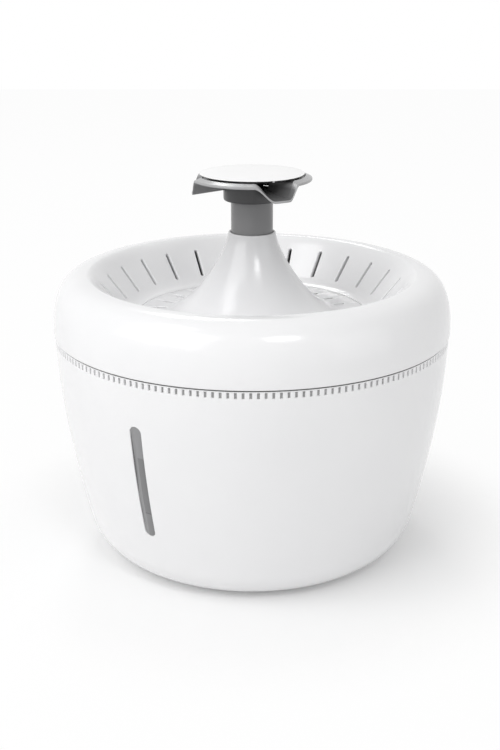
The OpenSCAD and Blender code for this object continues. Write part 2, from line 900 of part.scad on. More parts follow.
module bayonet_windows() {
    for (i = [0 : lug_count - 1])
        rotate([0, 0, i * 360 / lug_count])
            union() {
                rotate([0, 0, -lug_angle / 2 - 1])
                    translate([0, 0, lug_z - lug_room])
                        rotate_extrude(angle = lug_angle + twist_angle + 2)
                            translate([bayonet_in_r - 1, 0])
                                square([bayonet_wall + 2, lug_h + 2 * lug_room]);
                rotate([0, 0, -lug_angle / 2 + twist_angle - 1])
                    translate([0, 0, bayonet_low_z - 1])
                        rotate_extrude(angle = lug_angle + 1.6)
                            translate([bayonet_in_r - 1, 0])
                                square([bayonet_wall + 2, lug_z + lug_h - bayonet_low_z]);
            }
}

module fountain_cone() {
    color(white)
        difference() {
            union() {
                rotate_extrude()
                    polygon(concat(cone_face,
                        [[insert_r, bowl_floor_z], [insert_r, ledge_z], [cone_foot_r, ledge_z]],
                        flip([for (i = [1 : cone_steps - 1])
                            if (cone_back[i][1] > ledge_z) cone_back[i]]),
                        [[stem_hole_r - 2, cone_top_z]]));
                translate([0, 0, bayonet_low_z])
                    tube(bayonet_out_r, bayonet_in_r, ledge_z - bayonet_low_z + cone_wall / 2);
                translate([0, 0, socket_end_z - socket_wall])
                    cylinder(r = stem_hole_r + socket_wall, h = socket_depth + socket_wall - 4.6);
            }
            translate([0, 0, socket_end_z])
                cylinder(r = stem_hole_r, h = socket_depth + 5);
            translate([0, 0, socket_end_z - socket_wall - 1])
                cylinder(r = riser_r + 0.8, h = socket_wall + 2);
            bayonet_windows();
            around_slots()
                translate([(floor_slot_r0 + floor_slot_r1) / 2, 0, bowl_floor_z])
                    rotate([0, 0, 90])
                        linear_extrude(12, center = true)
                            long_hole(slot_w, floor_slot_r1 - floor_slot_r0);
        }
}

// ---- filter ----

module filter_basket() {
    color(shade)
        difference() {
            union() {
                translate([0, 0, basket_low_z])
                    tube(basket_out_r, basket_in_r, basket_h);
                translate([0, 0, basket_low_z])
                    cylinder(r = basket_in_r + 0.5, h = basket_wall);
                translate([0, 0, basket_low_z])
                    tube(basket_tube_r, basket_tube_in_r, basket_h - 6);
                for (i = [0 : lug_count - 1])
                    rotate([0, 0, i * 360 / lug_count - lug_angle / 2])
                        translate([0, 0, lug_z])
                            rotate_extrude(angle = lug_angle)
                                translate([basket_out_r - 0.5, 0])
                                    square([bayonet_out_r - basket_out_r + 0.3, lug_h]);
            }
            translate([0, 0, basket_low_z - 1])
                cylinder(r = basket_tube_in_r, h = basket_h + 2);
            for (i = [0 : 11])
                rotate([0, 0, i * 30])
                    translate([basket_tube_r + 5, -1.5, basket_low_z - 1])
                        cube([basket_in_r - basket_tube_r - 10, 3, basket_wall + 2]);
        }
}

module filter_frame() {
    color(white)
        translate([0, 0, frame_z])
            difference() {
                cylinder(r = frame_out_r, h = lid_z + lid_t - frame_z);
                translate([0, 0, -1])
                    cylinder(r = frame_in_r, h = 60);
                translate([0, 0, frame_wall])
                    tube(media_out_r, media_in_r, 60);
                for (i = [0 : 11])
                    rotate([0, 0, i * 30])
                        translate([media_in_r + 3, -2, -1])
                            cube([media_out_r - media_in_r - 6, 4, frame_wall + 2]);
            }
}

module media_ring(z, h) {
    translate([0, 0, z])
        tube(media_out_r - run_gap, media_in_r + run_gap, h);
}

module lower_cotton() {
    color("snow")
        media_ring(lower_cotton_z, cotton_t);
}

module carbon_bed() {
    color(black)
        media_ring(carbon_z, carbon_t);
}

module upper_cotton() {
    color("snow")
        media_ring(upper_cotton_z, cotton_t);
}

module filter_lid() {
    color(white)
        difference() {
            media_ring(lid_z, lid_t);
            for (i = [0 : 15])
                rotate([0, 0, i * 22.5])
                    translate([media_in_r + 3, -1.6, lid_z - 1])
                        cube([media_out_r - media_in_r - 6, 3.2, lid_t + 2]);
        }
}

// ---- spout ----

module spout_stem() {
    color(shade)
        difference() {
            union() {
                translate([0, 0, socket_end_z])
                    cylinder(r = stem_r, h = stem_top_z - socket_end_z);
                translate([0, 0, stem_top_z - 1])
                    cylinder(r = spigot_r, h = spigot_h + 1);
            }
            translate([0, 0, socket_end_z - 1])
                cylinder(r = stem_bore_r, h = 12);
            translate([0, 0, socket_end_z])
                cylinder(r = stem_bore_r - 1.6, h = well_z - socket_end_z + 1);
            translate([0, 0, seal_z - seal_thick / 2 - run_gap])
                cylinder(r = seal_groove_r, h = seal_thick + 2 * run_gap);
        }
}

module stem_seal() {
    mid_r = (seal_groove_r + riser_r) / 2;
    color(black)
        translate([0, 0, seal_z])
            rotate_extrude()
                translate([mid_r, 0])
                    circle(r = (seal_groove_r - riser_r) / 2 - run_gap, $fn = 48);
}

// Share of a chute's drop at bearing a, 1 in the middle and 0 between the chutes
function chute_side(a) =
    let (turn = (a - chute_bearing + 3600 + chute_step / 2) % chute_step - chute_step / 2)
    min(ease((turn + chute_left) / slope_left), ease((chute_right - turn) / slope_right));

// How far the leaf hangs below its flat at radius r and bearing a
function chute_sag(r, a) = chute_side(a)
    * (chute_drop_in + (chute_drop_out - chute_drop_in) * (r - neck_r) / (leaf_r - neck_r));

// How far the lip stands above the flat of the leaf
function lip(r, a) = r < lip_r ? 0 : (1 - chute_side(a)) * lip_h * (leaf_r - r) / (leaf_r - lip_r);

// What a chute takes out of the neck: its floor follows the underside of the leaf
module chute_cut() {
    first = floor(-chute_left / leaf_step);
    count = ceil(chute_right / leaf_step) - first;
    function corners(i) =
        let (a = (first + i) * leaf_step,
             low = leaf_low_z - 0.05 - 1.05 * chute_sag(neck_r, chute_bearing + a),
             p = polar(leaf_in_r - 1, a), q = polar(neck_r + 2, a))
        [[p[0], p[1], low], [q[0], q[1], low], [q[0], q[1], leaf_z], [p[0], p[1], leaf_z]];
    polyhedron([for (i = [0 : count]) each corners(i)], concat(
        [[2, 1, 0], [3, 2, 0]],
        [for (i = [0 : count - 1], k = [0 : 3])
            let (a = 4 * i + k, b = 4 * i + (k + 1) % 4)
            each [[b + 4, a + 4, a], [b, b + 4, a]]],
        [[4 * count + 1, 4 * count + 2, 4 * count], [4 * count + 2, 4 * count + 3, 4 * count]]));
}

module spout_neck() {
    color(dark)
        difference() {
            translate([0, 0, stem_top_z])
                rotate_extrude()
                    polygon(concat([[0, 0]],
                        [for (i = [0 : 4]) let (a = -90 + i * 22.5)
                            [neck_r - neck_round + neck_round * cos(a),
                             neck_round + neck_round * sin(a)]],
                        [[neck_r, neck_h], [0, neck_h]]));
            translate([0, 0, stem_top_z - 1])
                cylinder(r = spigot_r + run_gap, h = neck_h + 2);
            translate([0, 0, well_z])
                cylinder(r = well_r, h = neck_h);
            for (i = [0 : chute_count - 1])
                rotate([0, 0, chute_bearing + i * chute_step])
                    chute_cut();
        }
}

module spout_leaf() {
    radii = [leaf_in_r, neck_r, (neck_r + lip_in_r) / 2, lip_in_r, lip_r, (lip_r + leaf_r) / 2, leaf_r];
    n = len(radii);
    rows = n - 1;
    function skin(top) = [for (i = [0 : leaf_turns - 1], r = radii)
        let (a = chute_bearing + i * leaf_step)
        [r * cos(a), r * sin(a), leaf_z - chute_sag(r, a) + (top ? lip(r, a) : -leaf_t)]];
    half = leaf_turns * n;
    function at(i, k) = (i % leaf_turns) * n + k;
    color(shade)
        polyhedron(concat(skin(true), skin(false)), concat(
            [for (i = [0 : leaf_turns - 1], k = [0 : rows - 1])
                each [[at(i, k), at(i + 1, k), at(i + 1, k + 1)],
                      [at(i, k), at(i + 1, k + 1), at(i, k + 1)]]],
            [for (i = [0 : leaf_turns - 1], k = [0 : rows - 1])
                each [[half + at(i, k), half + at(i + 1, k + 1), half + at(i + 1, k)],
                      [half + at(i, k), half + at(i, k + 1), half + at(i + 1, k + 1)]]],
            [for (i = [0 : leaf_turns - 1])
                each [[at(i, 0), half + at(i, 0), at(i + 1, 0)],
                      [at(i + 1, 0), half + at(i, 0), half + at(i + 1, 0)]]],
            [for (i = [0 : leaf_turns - 1])
                each [[at(i, rows), at(i + 1, rows), half + at(i, rows)],
                      [at(i + 1, rows), half + at(i + 1, rows), half + at(i, rows)]]]));
}

module spout_cap() {
    color(white)
        union() {
            translate([0, 0, cap_low_z])
                rotate_extrude()
                    polygon([[0, 0], [cap_r - 2.4, 0], [cap_r, cap_t - 0.3], [cap_r, cap_t - 0.1],
                             [cap_r - 0.1, cap_t], [0, cap_t]]);
            rotate([0, 0, tab_bearing])
                translate([cap_r - 1.3, 0, cap_low_z + cap_t - cap_tab])
                    rotate([90, 0, 90])
                        linear_extrude(1.2)
                            polygon([[-0.4, 0], [0.4, 0], [1.1, cap_tab - 0.1], [-1.1, cap_tab - 0.1]]);
        }
}

// Plug under the cap that sits in the hole of the leaf: a cone turns the water outwards,
// and legs stand in the neck
module cap_plug() {
    plug_r = leaf_in_r - lift_gap;
    leg_in_r = spigot_r + 0.8;
    color(dark)
        union() {
            translate([0, 0, leaf_z])
                cylinder(r = plug_r, h = cap_gap);
            translate([0, 0, well_z + 2])
                cylinder(r1 = 4, r2 = plug_r - 0.5, h = leaf_z - well_z - 2 + eps);
            for (i = [0 : chute_count - 1])
                rotate([0, 0, chute_bearing + (i + 0.5) * chute_step])
                    translate([leg_in_r, -0.8, well_z])
                        cube([plug_r - 0.2 - leg_in_r, 1.6, leaf_z - well_z + cap_gap / 2]);
        }
}

tank();
window_lens();
window_gasket();
foot_pads();
inlet_body();
inlet_pin();
inlet_nut();
inlet_seal();
pump_lead();
motor_case();
stator_core();
stator_coil();
potting_resin();
suction_cups();
volute_cover();
volute_seal();
impeller_shaft();
shaft_bushes();
riser_tube();
impeller();
rotor_magnet();
strainer();
prefilter_sponge();
flow_gate();
drinking_tray();
fountain_cone();
filter_basket();
filter_frame();
lower_cotton();
carbon_bed();
upper_cotton();
filter_lid();
spout_stem();
stem_seal();
spout_neck();
spout_leaf();
spout_cap();
cap_plug();
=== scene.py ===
"""Dressed model of the pet water fountain: smooth shells over the CAD frame, moulded plastics,
foam, cotton, carbon and metal as procedural materials, in soft studio light."""

import math

import bpy
from mathutils import Matrix, Vector, noise


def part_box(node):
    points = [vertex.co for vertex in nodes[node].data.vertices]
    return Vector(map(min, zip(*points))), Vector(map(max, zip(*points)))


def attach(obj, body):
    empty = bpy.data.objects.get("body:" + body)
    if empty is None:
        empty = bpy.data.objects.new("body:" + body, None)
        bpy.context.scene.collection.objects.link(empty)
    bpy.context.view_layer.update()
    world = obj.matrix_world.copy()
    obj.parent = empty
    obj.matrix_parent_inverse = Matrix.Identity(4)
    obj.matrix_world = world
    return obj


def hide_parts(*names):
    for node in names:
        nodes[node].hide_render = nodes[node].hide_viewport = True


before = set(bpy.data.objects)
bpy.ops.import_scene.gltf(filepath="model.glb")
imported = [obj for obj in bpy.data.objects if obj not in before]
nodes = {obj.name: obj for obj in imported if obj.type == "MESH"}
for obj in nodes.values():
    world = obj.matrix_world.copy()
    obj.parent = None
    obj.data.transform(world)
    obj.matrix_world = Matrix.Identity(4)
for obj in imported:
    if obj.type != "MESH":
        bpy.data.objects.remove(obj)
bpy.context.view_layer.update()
scene = bpy.context.scene

# ---------------- sizes in millimetres and degrees

MM = 0.001
PER_METRE = 1000
BODY_R = 100.0
SEAM_Z = 115.2
SEAM_GAP = 0.7
LAND_Z = SEAM_Z + SEAM_GAP
TANK_TOP_R = BODY_R - 0.6
TANK_TAPER = 14.4
BASE_Z = 1.0
FOOT_ROUND = 21.0
FOOT_LEAN = math.radians(14.5)
TANK_WALL = 2.6
LAND_W = 1.4
LAND_R = TANK_TOP_R - (TANK_WALL - LAND_W)
NOTCH_COUNT = 188
NOTCH_BEARING = 269.7
NOTCH_W = 1.2
NOTCH_H = 3.0
NOTCH_DEPTH = 1.1
NOTCH_RIM = 0.4
PAD_R = 8.0
PAD_CIRCLE_R = 54.0
WINDOW_BEARING = 237.5
WINDOW_Z = 63.0
WINDOW_LEN = 58.8
WINDOW_W = 6.1
WINDOW_RECESS = 0.3
WINDOW_FLANGE = 2.4
GASKET_T = 0.6
LENS_FLANGE_T = 1.4
CREST_Z = SEAM_Z + 29.2
CREST_R = 82.6
SHOULDER_POWER = 2.57
TRAY_WALL = 2.2
BOWL_FLOOR_Z = SEAM_Z + 7.0
BOWL_FLOOR_R = 58.5
SLOT_TOP = (75.6, SEAM_Z + 23.1)
SLOT_LOW = (65.4, SEAM_Z + 10.7)
SLOT_COUNT = 26
SLOT_BEARING = 87.1
SLOT_W = 1.7
FLOOR_SLOT = (44.5, 50.5)
LEDGE_Z = BOWL_FLOOR_Z - 2.0
LEDGE_R = BOWL_FLOOR_R - 3.7
SKIRT_R = TANK_TOP_R - TANK_WALL - 0.3
CONE_TOP_Z = SEAM_Z + 48.7
CONE_TOP_R = 11.75
CONE_FOOT_R = 46.0
CONE_WALL = 2.0
STEM_R = 10.4
STEM_HOLE_R = STEM_R + 0.3
SOCKET_END_Z = CONE_TOP_Z - 33
BAYONET_R = (LEDGE_R - 2.6, LEDGE_R - 0.6)
BAYONET_LOW_Z = LEDGE_Z - 14
STEM_TOP_Z = CONE_TOP_Z + 15.8
NECK_R = 14.1
NECK_H = 10.0
SPIGOT_R = 8.0
LEAF_R = 29.6
LEAF_T = 1.1
LEAF_Z = STEM_TOP_Z + NECK_H + LEAF_T
WELL_Z = STEM_TOP_Z + 3.9
WELL_R = NECK_R - 1.6
CHUTE_BEARING = 299.0
CHUTE_PITCH = 120.0
CHUTE_EDGES = (27.0, 21.0)
CHUTE_SLOPES = (20.5, 12.0)
CHUTE_DROP = (5.0, 7.0)
LIP_H = 1.3
LIP_R = 26.25
CAP_R = 25.8
CAP_T = 1.3
CAP_Z = LEAF_Z + 0.9
CAP_TAB = 0.7
TAB_BEARING = 293.5
INLET_Z = 98.0
FLANGE_R = 7.5
BARREL_R = 5.5
BOSS_DEPTH = 2.4
SOCKET_DEPTH = 9
LEAD_D = 4.0
LEAD_START = (45.25, 34.6)
RISER_R = 6.5
PAD_HOLE_R = 13.1
FINE_CREASE = 38.0
CUT_CREASE = 42.0


# ---------------- camera, light and floor

EYE = (0.0, -0.5557, 0.2844)
LOOK_DOWN = 19.466
FOCAL_LENGTH = 54.41
MIDDLE = (0, 0, 0.1)
HIDDEN_LIGHT = 0.5
FLOOR_HALF = 2.5
SHADOW_REACH = (0.075, 0.17)
PAPER_GLOW = (0.15, 0.95)


def add_node(tree, kind, **inputs):
    """A node of that kind. A property's name sets it, _0 is the first input, and a socket is linked."""
    node = tree.nodes.new(kind)
    for name, value in inputs.items():
        if hasattr(node, name):
            setattr(node, name, value)
            continue
        socket = node.inputs[int(name[1:])] if name[1:].isdigit() else node.inputs[name.replace("_", " ")]
        if isinstance(value, bpy.types.NodeSocket):
            tree.links.new(value, socket)
        elif isinstance(value, tuple) and len(value) == 3 and socket.type == "RGBA":
            socket.default_value = (*value, 1.0)
        else:
            socket.default_value = value
    return node


def make_camera():
    """Wide lens in front of the object and above it, looking down."""
    lens = bpy.data.cameras.new("Camera")
    lens.sensor_width = 36.0
    lens.lens = FOCAL_LENGTH
    lens.shift_x = -0.00267
    lens.clip_start, lens.clip_end = 0.02, 20.0
    eye = bpy.data.objects.new("Camera", lens)
    eye.location = EYE
    eye.rotation_euler = (math.radians(90 - LOOK_DOWN), 0.0, 0.0)
    scene.collection.objects.link(eye)
    scene.camera = eye


def soft_lamp(name, place, target, size, watts):
    """A rectangular lamp of that size in metres, turned to its target."""
    lamp = bpy.data.lights.new(name, "AREA")
    lamp.shape = "RECTANGLE"
    lamp.size, lamp.size_y = size
    lamp.energy = watts
    holder = bpy.data.objects.new(name, lamp)
    holder.location = place
    holder.rotation_euler = (Vector(target) - Vector(place)).to_track_quat("-Z", "Y").to_euler()
    scene.collection.objects.link(holder)


def seen_by_eye_or_mirror(tree):
    """1 for camera, glossy and transmission rays, 0 for the rays that carry light."""
    path = tree.nodes.new("ShaderNodeLightPath").outputs
    seen = path["Is Camera Ray"]
    for kind in ("Is Glossy Ray", "Is Transmission Ray"):
        seen = add_node(tree, "ShaderNodeMath", operation="MAXIMUM", _0=seen, _1=path[kind]).outputs[0]
    return seen


def make_sky():
    sky = bpy.data.worlds.new("Studio")
    sky.use_nodes = True
    scene.world = sky
    tree = sky.node_tree
    ground = tree.nodes["Background"]
    ground.inputs["Color"].default_value = (1.0, 1.0, 1.0, 1.0)
    level = add_node(
        tree, "ShaderNodeMapRange", Value=seen_by_eye_or_mirror(tree), To_Min=HIDDEN_LIGHT, To_Max=1.0
    )
    tree.links.new(level.outputs[0], ground.inputs["Strength"])


def make_floor():
    """White paper that takes the shadow near the object and glows evenly further out."""
    corners = [(FLOOR_HALF * x, FLOOR_HALF * y, 0) for x, y in ((-1, -1), (1, -1), (1, 1), (-1, 1))]
    mesh = bpy.data.meshes.new("Floor")
    mesh.from_pydata(corners, [], [(0, 1, 2, 3)])
    floor = bpy.data.objects.new("Floor", mesh)
    scene.collection.objects.link(floor)
    paper = bpy.data.materials.new("studio_paper")
    paper.use_nodes = True
    tree = paper.node_tree
    matt = tree.nodes["Principled BSDF"]
    matt.inputs["Base Color"].default_value = (0.9, 0.9, 0.9, 1.0)
    matt.inputs["Roughness"].default_value = 0.9
    glow = add_node(tree, "ShaderNodeEmission", Strength=1.0)
    place = tree.nodes.new("ShaderNodeTexCoord")
    reach = add_node(tree, "ShaderNodeVectorMath", operation="LENGTH", _0=place.outputs["Object"])
    fade = add_node(
        tree, "ShaderNodeMapRange", interpolation_type="SMOOTHSTEP", Value=reach.outputs["Value"],
        From_Min=SHADOW_REACH[0], From_Max=SHADOW_REACH[1], To_Min=PAPER_GLOW[0], To_Max=PAPER_GLOW[1],
    )
    share = add_node(
        tree, "ShaderNodeMath", operation="MULTIPLY", _0=seen_by_eye_or_mirror(tree), _1=fade.outputs[0]
    )
    blend = add_node(
        tree, "ShaderNodeMixShader", Fac=share.outputs[0], _1=matt.outputs[0], _2=glow.outputs[0]
    )
    tree.links.new(blend.outputs[0], tree.nodes["Material Output"].inputs["Surface"])
    mesh.materials.append(paper)


make_camera()
make_sky()
make_floor()
soft_lamp("key", (-1.1, -0.82, 1.05), MIDDLE, (1.4, 1.1), 12.3)
soft_lamp("fill", (1.3, -0.7, 0.5), MIDDLE, (1.0, 1.0), 2.2)
soft_lamp("high", (-0.61, -0.24, 1.1), MIDDLE, (0.35, 0.35), 1.5)
soft_lamp("glint", (0.27, -0.75, 0.86), (0, 0, 0.13), (0.26, 0.2), 1.6)
soft_lamp("back", (-0.2, 1.0, 1.15), MIDDLE, (0.35, 0.25), 2.5)
scene.view_settings.view_transform = "Standard"


# ---------------- material helpers


class Finish:
    """A material with its Principled BSDF, and short calls to add and join nodes."""

    def __init__(self, name, colour, roughness, **sockets):
        self.material = bpy.data.materials.new(name)
        self.material.use_nodes = True
        self.tree = self.material.node_tree
        self.bsdf = self.tree.nodes["Principled BSDF"]
        self.bsdf.inputs["Base Color"].default_value = (*colour, 1.0)
        self.bsdf.inputs["Roughness"].default_value = roughness
        for socket, value in sockets.items():
            self.bsdf.inputs[socket.replace("_", " ")].default_value = value
        self.place = self.tree.nodes.new("ShaderNodeTexCoord").outputs["Object"]
        self.material.diffuse_color = (*colour, 1.0)

    def add(self, kind, **inputs):
        return add_node(self.tree, kind, **inputs)

    def group(self, group, **inputs):
        """A node of that group, with its Place and those inputs set."""
        node = self.tree.nodes.new("ShaderNodeGroup")
        node.node_tree = group
        self.tree.links.new(self.place, node.inputs["Place"])
        for name, value in inputs.items():
            socket = node.inputs[name.replace("_", " ")]
            socket.default_value = (*value, 1.0) if isinstance(value, tuple) else value
        return node

    def join(self, output, socket):
        self.tree.links.new(output, self.bsdf.inputs[socket])

    def bump(self, height, strength, distance):
        relief = self.add("ShaderNodeBump", Strength=strength, Distance=distance * MM, Height=height)
        self.join(relief.outputs["Normal"], "Normal")


def mixed(tree, share, first, second):
    """A colour between two others, each of them a colour or a socket."""
    return add_node(tree, "ShaderNodeMix", data_type="RGBA", _0=share, _6=first, _7=second).outputs[2]


def new_group(name, sockets_in, sockets_out):
    """A shader group with its input and output nodes, and its sockets set to those values."""
    group = bpy.data.node_groups.new(name, "ShaderNodeTree")
    for label, kind, value in sockets_in:
        socket = group.interface.new_socket(name=label, in_out="INPUT", socket_type=kind)
        if value is not None:
            socket.default_value = value
    for label, kind in sockets_out:
        group.interface.new_socket(name=label, in_out="OUTPUT", socket_type=kind)
    return group, group.nodes.new("NodeGroupInput"), group.nodes.new("NodeGroupOutput")


FLOAT, COLOUR, VECTOR = "NodeSocketFloat", "NodeSocketColor", "NodeSocketVector"


def moulded_skin_group():
    """Moulded plastic: a slow drift of tone and gloss, sparse dust specks and a fine skin height."""
    group, given, out = new_group(
        "Moulded skin",
        [
            ("Place", VECTOR, None),
            ("Colour", COLOUR, None),
            ("Drift Colour", COLOUR, None),
            ("Gloss Low", FLOAT, 0.15),
            ("Gloss High", FLOAT, 0.25),
            ("Grain", FLOAT, 900.0),
        ],
        [("Colour", COLOUR), ("Roughness", FLOAT), ("Height", FLOAT)],
    )
    place = given.outputs["Place"]
    drift = add_node(group, "ShaderNodeTexNoise", Vector=place, Scale=18.0, Detail=3.0)
    smear = add_node(group, "ShaderNodeTexNoise", Vector=place, Scale=75.0, Detail=5.0)
    grain = add_node(group, "ShaderNodeTexNoise", Vector=place, Scale=given.outputs["Grain"], Detail=2.0)
    specks = add_node(group, "ShaderNodeTexVoronoi", Vector=place, Scale=260.0)
    dust = add_node(
        group, "ShaderNodeMapRange", Value=specks.outputs["Distance"], From_Min=0.03, From_Max=0.07,
        To_Min=0.35, To_Max=0.0,
    )
    few = add_node(group, "ShaderNodeMapRange", Value=smear.outputs["Fac"], From_Min=0.56, From_Max=0.66)
    sparse = add_node(group, "ShaderNodeMath", operation="MULTIPLY", _0=dust.outputs[0], _1=few.outputs[0])
    share = add_node(
        group, "ShaderNodeMath", operation="ADD", _0=drift.outputs["Fac"], _1=sparse.outputs[0]
    )
    tone = mixed(group, share.outputs[0], given.outputs["Colour"], given.outputs["Drift Colour"])
    gloss = add_node(
        group, "ShaderNodeMapRange", Value=smear.outputs["Fac"], From_Min=0.35, From_Max=0.65,
        To_Min=given.outputs["Gloss Low"], To_Max=given.outputs["Gloss High"],
    )
    group.links.new(tone, out.inputs["Colour"])
    group.links.new(gloss.outputs[0], out.inputs["Roughness"])
    group.links.new(grain.outputs["Fac"], out.inputs["Height"])
    return group


MOULDED_SKIN = moulded_skin_group()


def moulded(name, colour, drift, gloss, grain=900.0, relief=0.02, tone=None, **sockets):
    """Injection-moulded plastic or rubber in one colour, which tone can scale from place to place; each tone
    given in this script paints shade on the piece, and on the lens the view through it.
    """
    finish = Finish(name, colour, gloss[0], **sockets)
    skin = finish.group(
        MOULDED_SKIN, Colour=colour, Drift_Colour=drift, Gloss_Low=gloss[0], Gloss_High=gloss[1], Grain=grain
    ).outputs
    tinted = skin["Colour"]
    # tone scales the colour where painted shade is wanted
    if tone:
        scaled = finish.add("ShaderNodeVectorMath", operation="SCALE", Vector=tinted, Scale=tone(finish))
        tinted = scaled.outputs[0]
    finish.join(tinted, "Base Color")
    finish.join(skin["Roughness"], "Roughness")
    finish.bump(skin["Height"], 0.25, relief)
    return finish.material


UP = (0.0, 0.0, 1.0)


def ramp(finish, along, start, end, at_start, at_end):
    """Changes from one value to the other between two distances, in millimetres, along a direction."""
    way = finish.add("ShaderNodeVectorMath", operation="DOT_PRODUCT", _0=finish.place, _1=along)
    return finish.add(
        "ShaderNodeMapRange", Value=way.outputs["Value"], From_Min=start * MM, From_Max=end * MM,
        To_Min=at_start, To_Max=at_end,
    ).outputs[0]


def combined(finish, operation, a, b):
    """Two values joined by a maths operation."""
    return finish.add("ShaderNodeMath", operation=operation, _0=a, _1=b).outputs[0]


def cone_painted_shade(finish):
    """Painted shade: the trumpet is a little greyer towards its mouth, for the shade under the head."""
    return ramp(finish, UP, BOWL_FLOOR_Z + 6, CONE_TOP_Z, 1.0, 0.74)


def leaf_painted_shade(finish):
    """The leaf keeps its pale colour on its lip and rim, and is painted darker where it hangs down, as shade
    in the chutes.
    """
    level = finish.add("ShaderNodeVectorMath", operation="MULTIPLY", _0=finish.place, _1=(1.0, 1.0, 0.0))
    reach = finish.add("ShaderNodeVectorMath", operation="LENGTH", _0=level.outputs[0])
    rim = finish.add(
        "ShaderNodeMapRange", Value=reach.outputs["Value"], From_Min=(LEAF_R - 0.4) * MM,
        From_Max=(LEAF_R - 0.2) * MM,
    )
    low = ramp(finish, UP, LEAF_Z - 2.6, LEAF_Z - 0.6, 0.45, 1.0)
    return combined(finish, "MAXIMUM", rim.outputs[0], low)


def lens_painted_view(finish):
    """Painted view into the tank: the rib behind the lens and the shade inside are painted on the lens as a
    darker strip with a step near its lower end.
    """
    turn = math.radians(WINDOW_BEARING)
    side, rib_top, step_z = (-math.sin(turn), math.cos(turn), 0.0), WINDOW_Z + 13.1, WINDOW_Z - 16.4
    top = ramp(finish, UP, rib_top, rib_top + 0.5, 1.0, 0.0)
    strip = combined(finish, "MULTIPLY", ramp(finish, side, -0.95, -0.75, 0.0, 1.0), top)
    depth = ramp(finish, UP, step_z - 0.4, step_z, 0.2, 0.3)
    over = ramp(finish, UP, step_z - 0.3, step_z, 0.0, 0.25)
    line = combined(finish, "MULTIPLY", over, ramp(finish, UP, step_z + 0.2, step_z + 0.5, 1.0, 0.0))
    rib = combined(finish, "MULTIPLY", strip, combined(finish, "ADD", depth, line))
    return combined(finish, "SUBTRACT", ramp(finish, side, -1.6, -1.0, 1.0, 1.1), rib)


def worked_metal(name, colour, dark, roughness, across, stretch):
    """Metal with fine lines across one axis, from turning or from stacked sheets."""
    finish = Finish(name, colour, roughness, Metallic=1.0)
    stretched = finish.add("ShaderNodeMapping", Vector=finish.place, Scale=stretch)
    lines = finish.add("ShaderNodeTexNoise", Vector=stretched.outputs[0], Scale=across, Detail=3.0)
    streak = lines.outputs["Fac"]
    rough = finish.add("ShaderNodeMapRange", Value=streak, To_Min=roughness - 0.08, To_Max=roughness + 0.12)
    finish.join(mixed(finish.tree, streak, dark, colour), "Base Color")
    finish.join(rough.outputs[0], "Roughness")
    finish.bump(streak, 0.3, 0.03)
    return finish.material


def cellular(name, colour, hollow, cell, depth, roughness, fibre=0.0):
    """Foam, granules or felt: cells of that size in millimetres, with fibre adding fine threads."""
    finish = Finish(name, colour, roughness)
    cells = finish.add("ShaderNodeTexVoronoi", Vector=finish.place, Scale=1000.0 / cell)
    threads = finish.add(
        "ShaderNodeTexNoise", Vector=finish.place, Scale=2600.0 / cell, Detail=4.0, Distortion=1.6
    )
    height = finish.add(
        "ShaderNodeMix", data_type="FLOAT", _0=fibre, _2=cells.outputs["Distance"], _3=threads.outputs["Fac"]
    ).outputs[0]
    level = finish.add("ShaderNodeMapRange", Value=height, From_Min=0.1, From_Max=0.75)
    finish.join(mixed(finish.tree, level.outputs[0], colour, hollow), "Base Color")
    finish.bump(height, 0.8, depth)
    return finish.material


SHELL_WHITE = moulded("shell_white", (0.85, 0.85, 0.855), (0.80, 0.80, 0.81), (0.13, 0.2), IOR=1.5)
# The trumpet's white plastic, with painted shade darkening it towards its mouth.
CONE_WHITE = moulded(
    "cone_white_painted_shade", (0.80, 0.80, 0.81), (0.76, 0.76, 0.77), (0.16, 0.24), tone=cone_painted_shade, IOR=1.5
)
# Darker grey that paints the shade in the notch groove and in the seam gap.
RECESS_PAINTED_SHADE = moulded("shell_recess_painted_shade", (0.44, 0.44, 0.44), (0.37, 0.37, 0.37), (0.5, 0.7), grain=1500.0)
CAP_WHITE = moulded(
    "cap_white", (0.9, 0.9, 0.9), (0.86, 0.86, 0.86), (0.3, 0.42), grain=1500.0, relief=0.03
)
# Grey of the leaf, painted darker as shade where it hangs down into the chutes.
LEAF_GREY = moulded(
    "leaf_grey", (0.38, 0.38, 0.384), (0.35, 0.35, 0.354), (0.2, 0.3), grain=1200.0, tone=leaf_painted_shade
)
# The neck's own dark grey, also painted on the cap's lower side as shade.
NECK_GREY_AND_CAP_SHADE = moulded("neck_grey", (0.058, 0.058, 0.06), (0.045, 0.045, 0.047), (0.3, 0.42), grain=1200.0)
STEM_GREY = moulded("stem_grey", (0.2, 0.2, 0.203), (0.17, 0.17, 0.173), (0.28, 0.4), grain=1200.0)
# Opaque smoke lens with the view through it painted on: a darker strip for the shaded rib behind it.
SMOKE_LENS = moulded(
    "smoke_lens_painted_view", (0.25, 0.25, 0.255), (0.225, 0.225, 0.23), (0.08, 0.14), relief=0.01,
    tone=lens_painted_view, IOR=1.49,
)
SOFT_RUBBER = moulded(
    "soft_rubber", (0.035, 0.035, 0.036), (0.055, 0.055, 0.055), (0.6, 0.78), grain=2200.0, relief=0.05
)
PUMP_BLACK = moulded(
    "pump_black", (0.03, 0.03, 0.032), (0.045, 0.045, 0.047), (0.3, 0.45), grain=1600.0, relief=0.04
)
INLET_BLACK = moulded(
    "inlet_black", (0.025, 0.025, 0.027), (0.04, 0.04, 0.04), (0.35, 0.5), grain=1600.0, relief=0.03
)
BASKET_GREY = moulded("basket_grey", (0.36, 0.37, 0.38), (0.32, 0.33, 0.34), (0.25, 0.38), grain=1400.0)
FRAME_WHITE = moulded("frame_white", (0.8, 0.8, 0.8), (0.74, 0.74, 0.74), (0.3, 0.42), grain=1300.0)
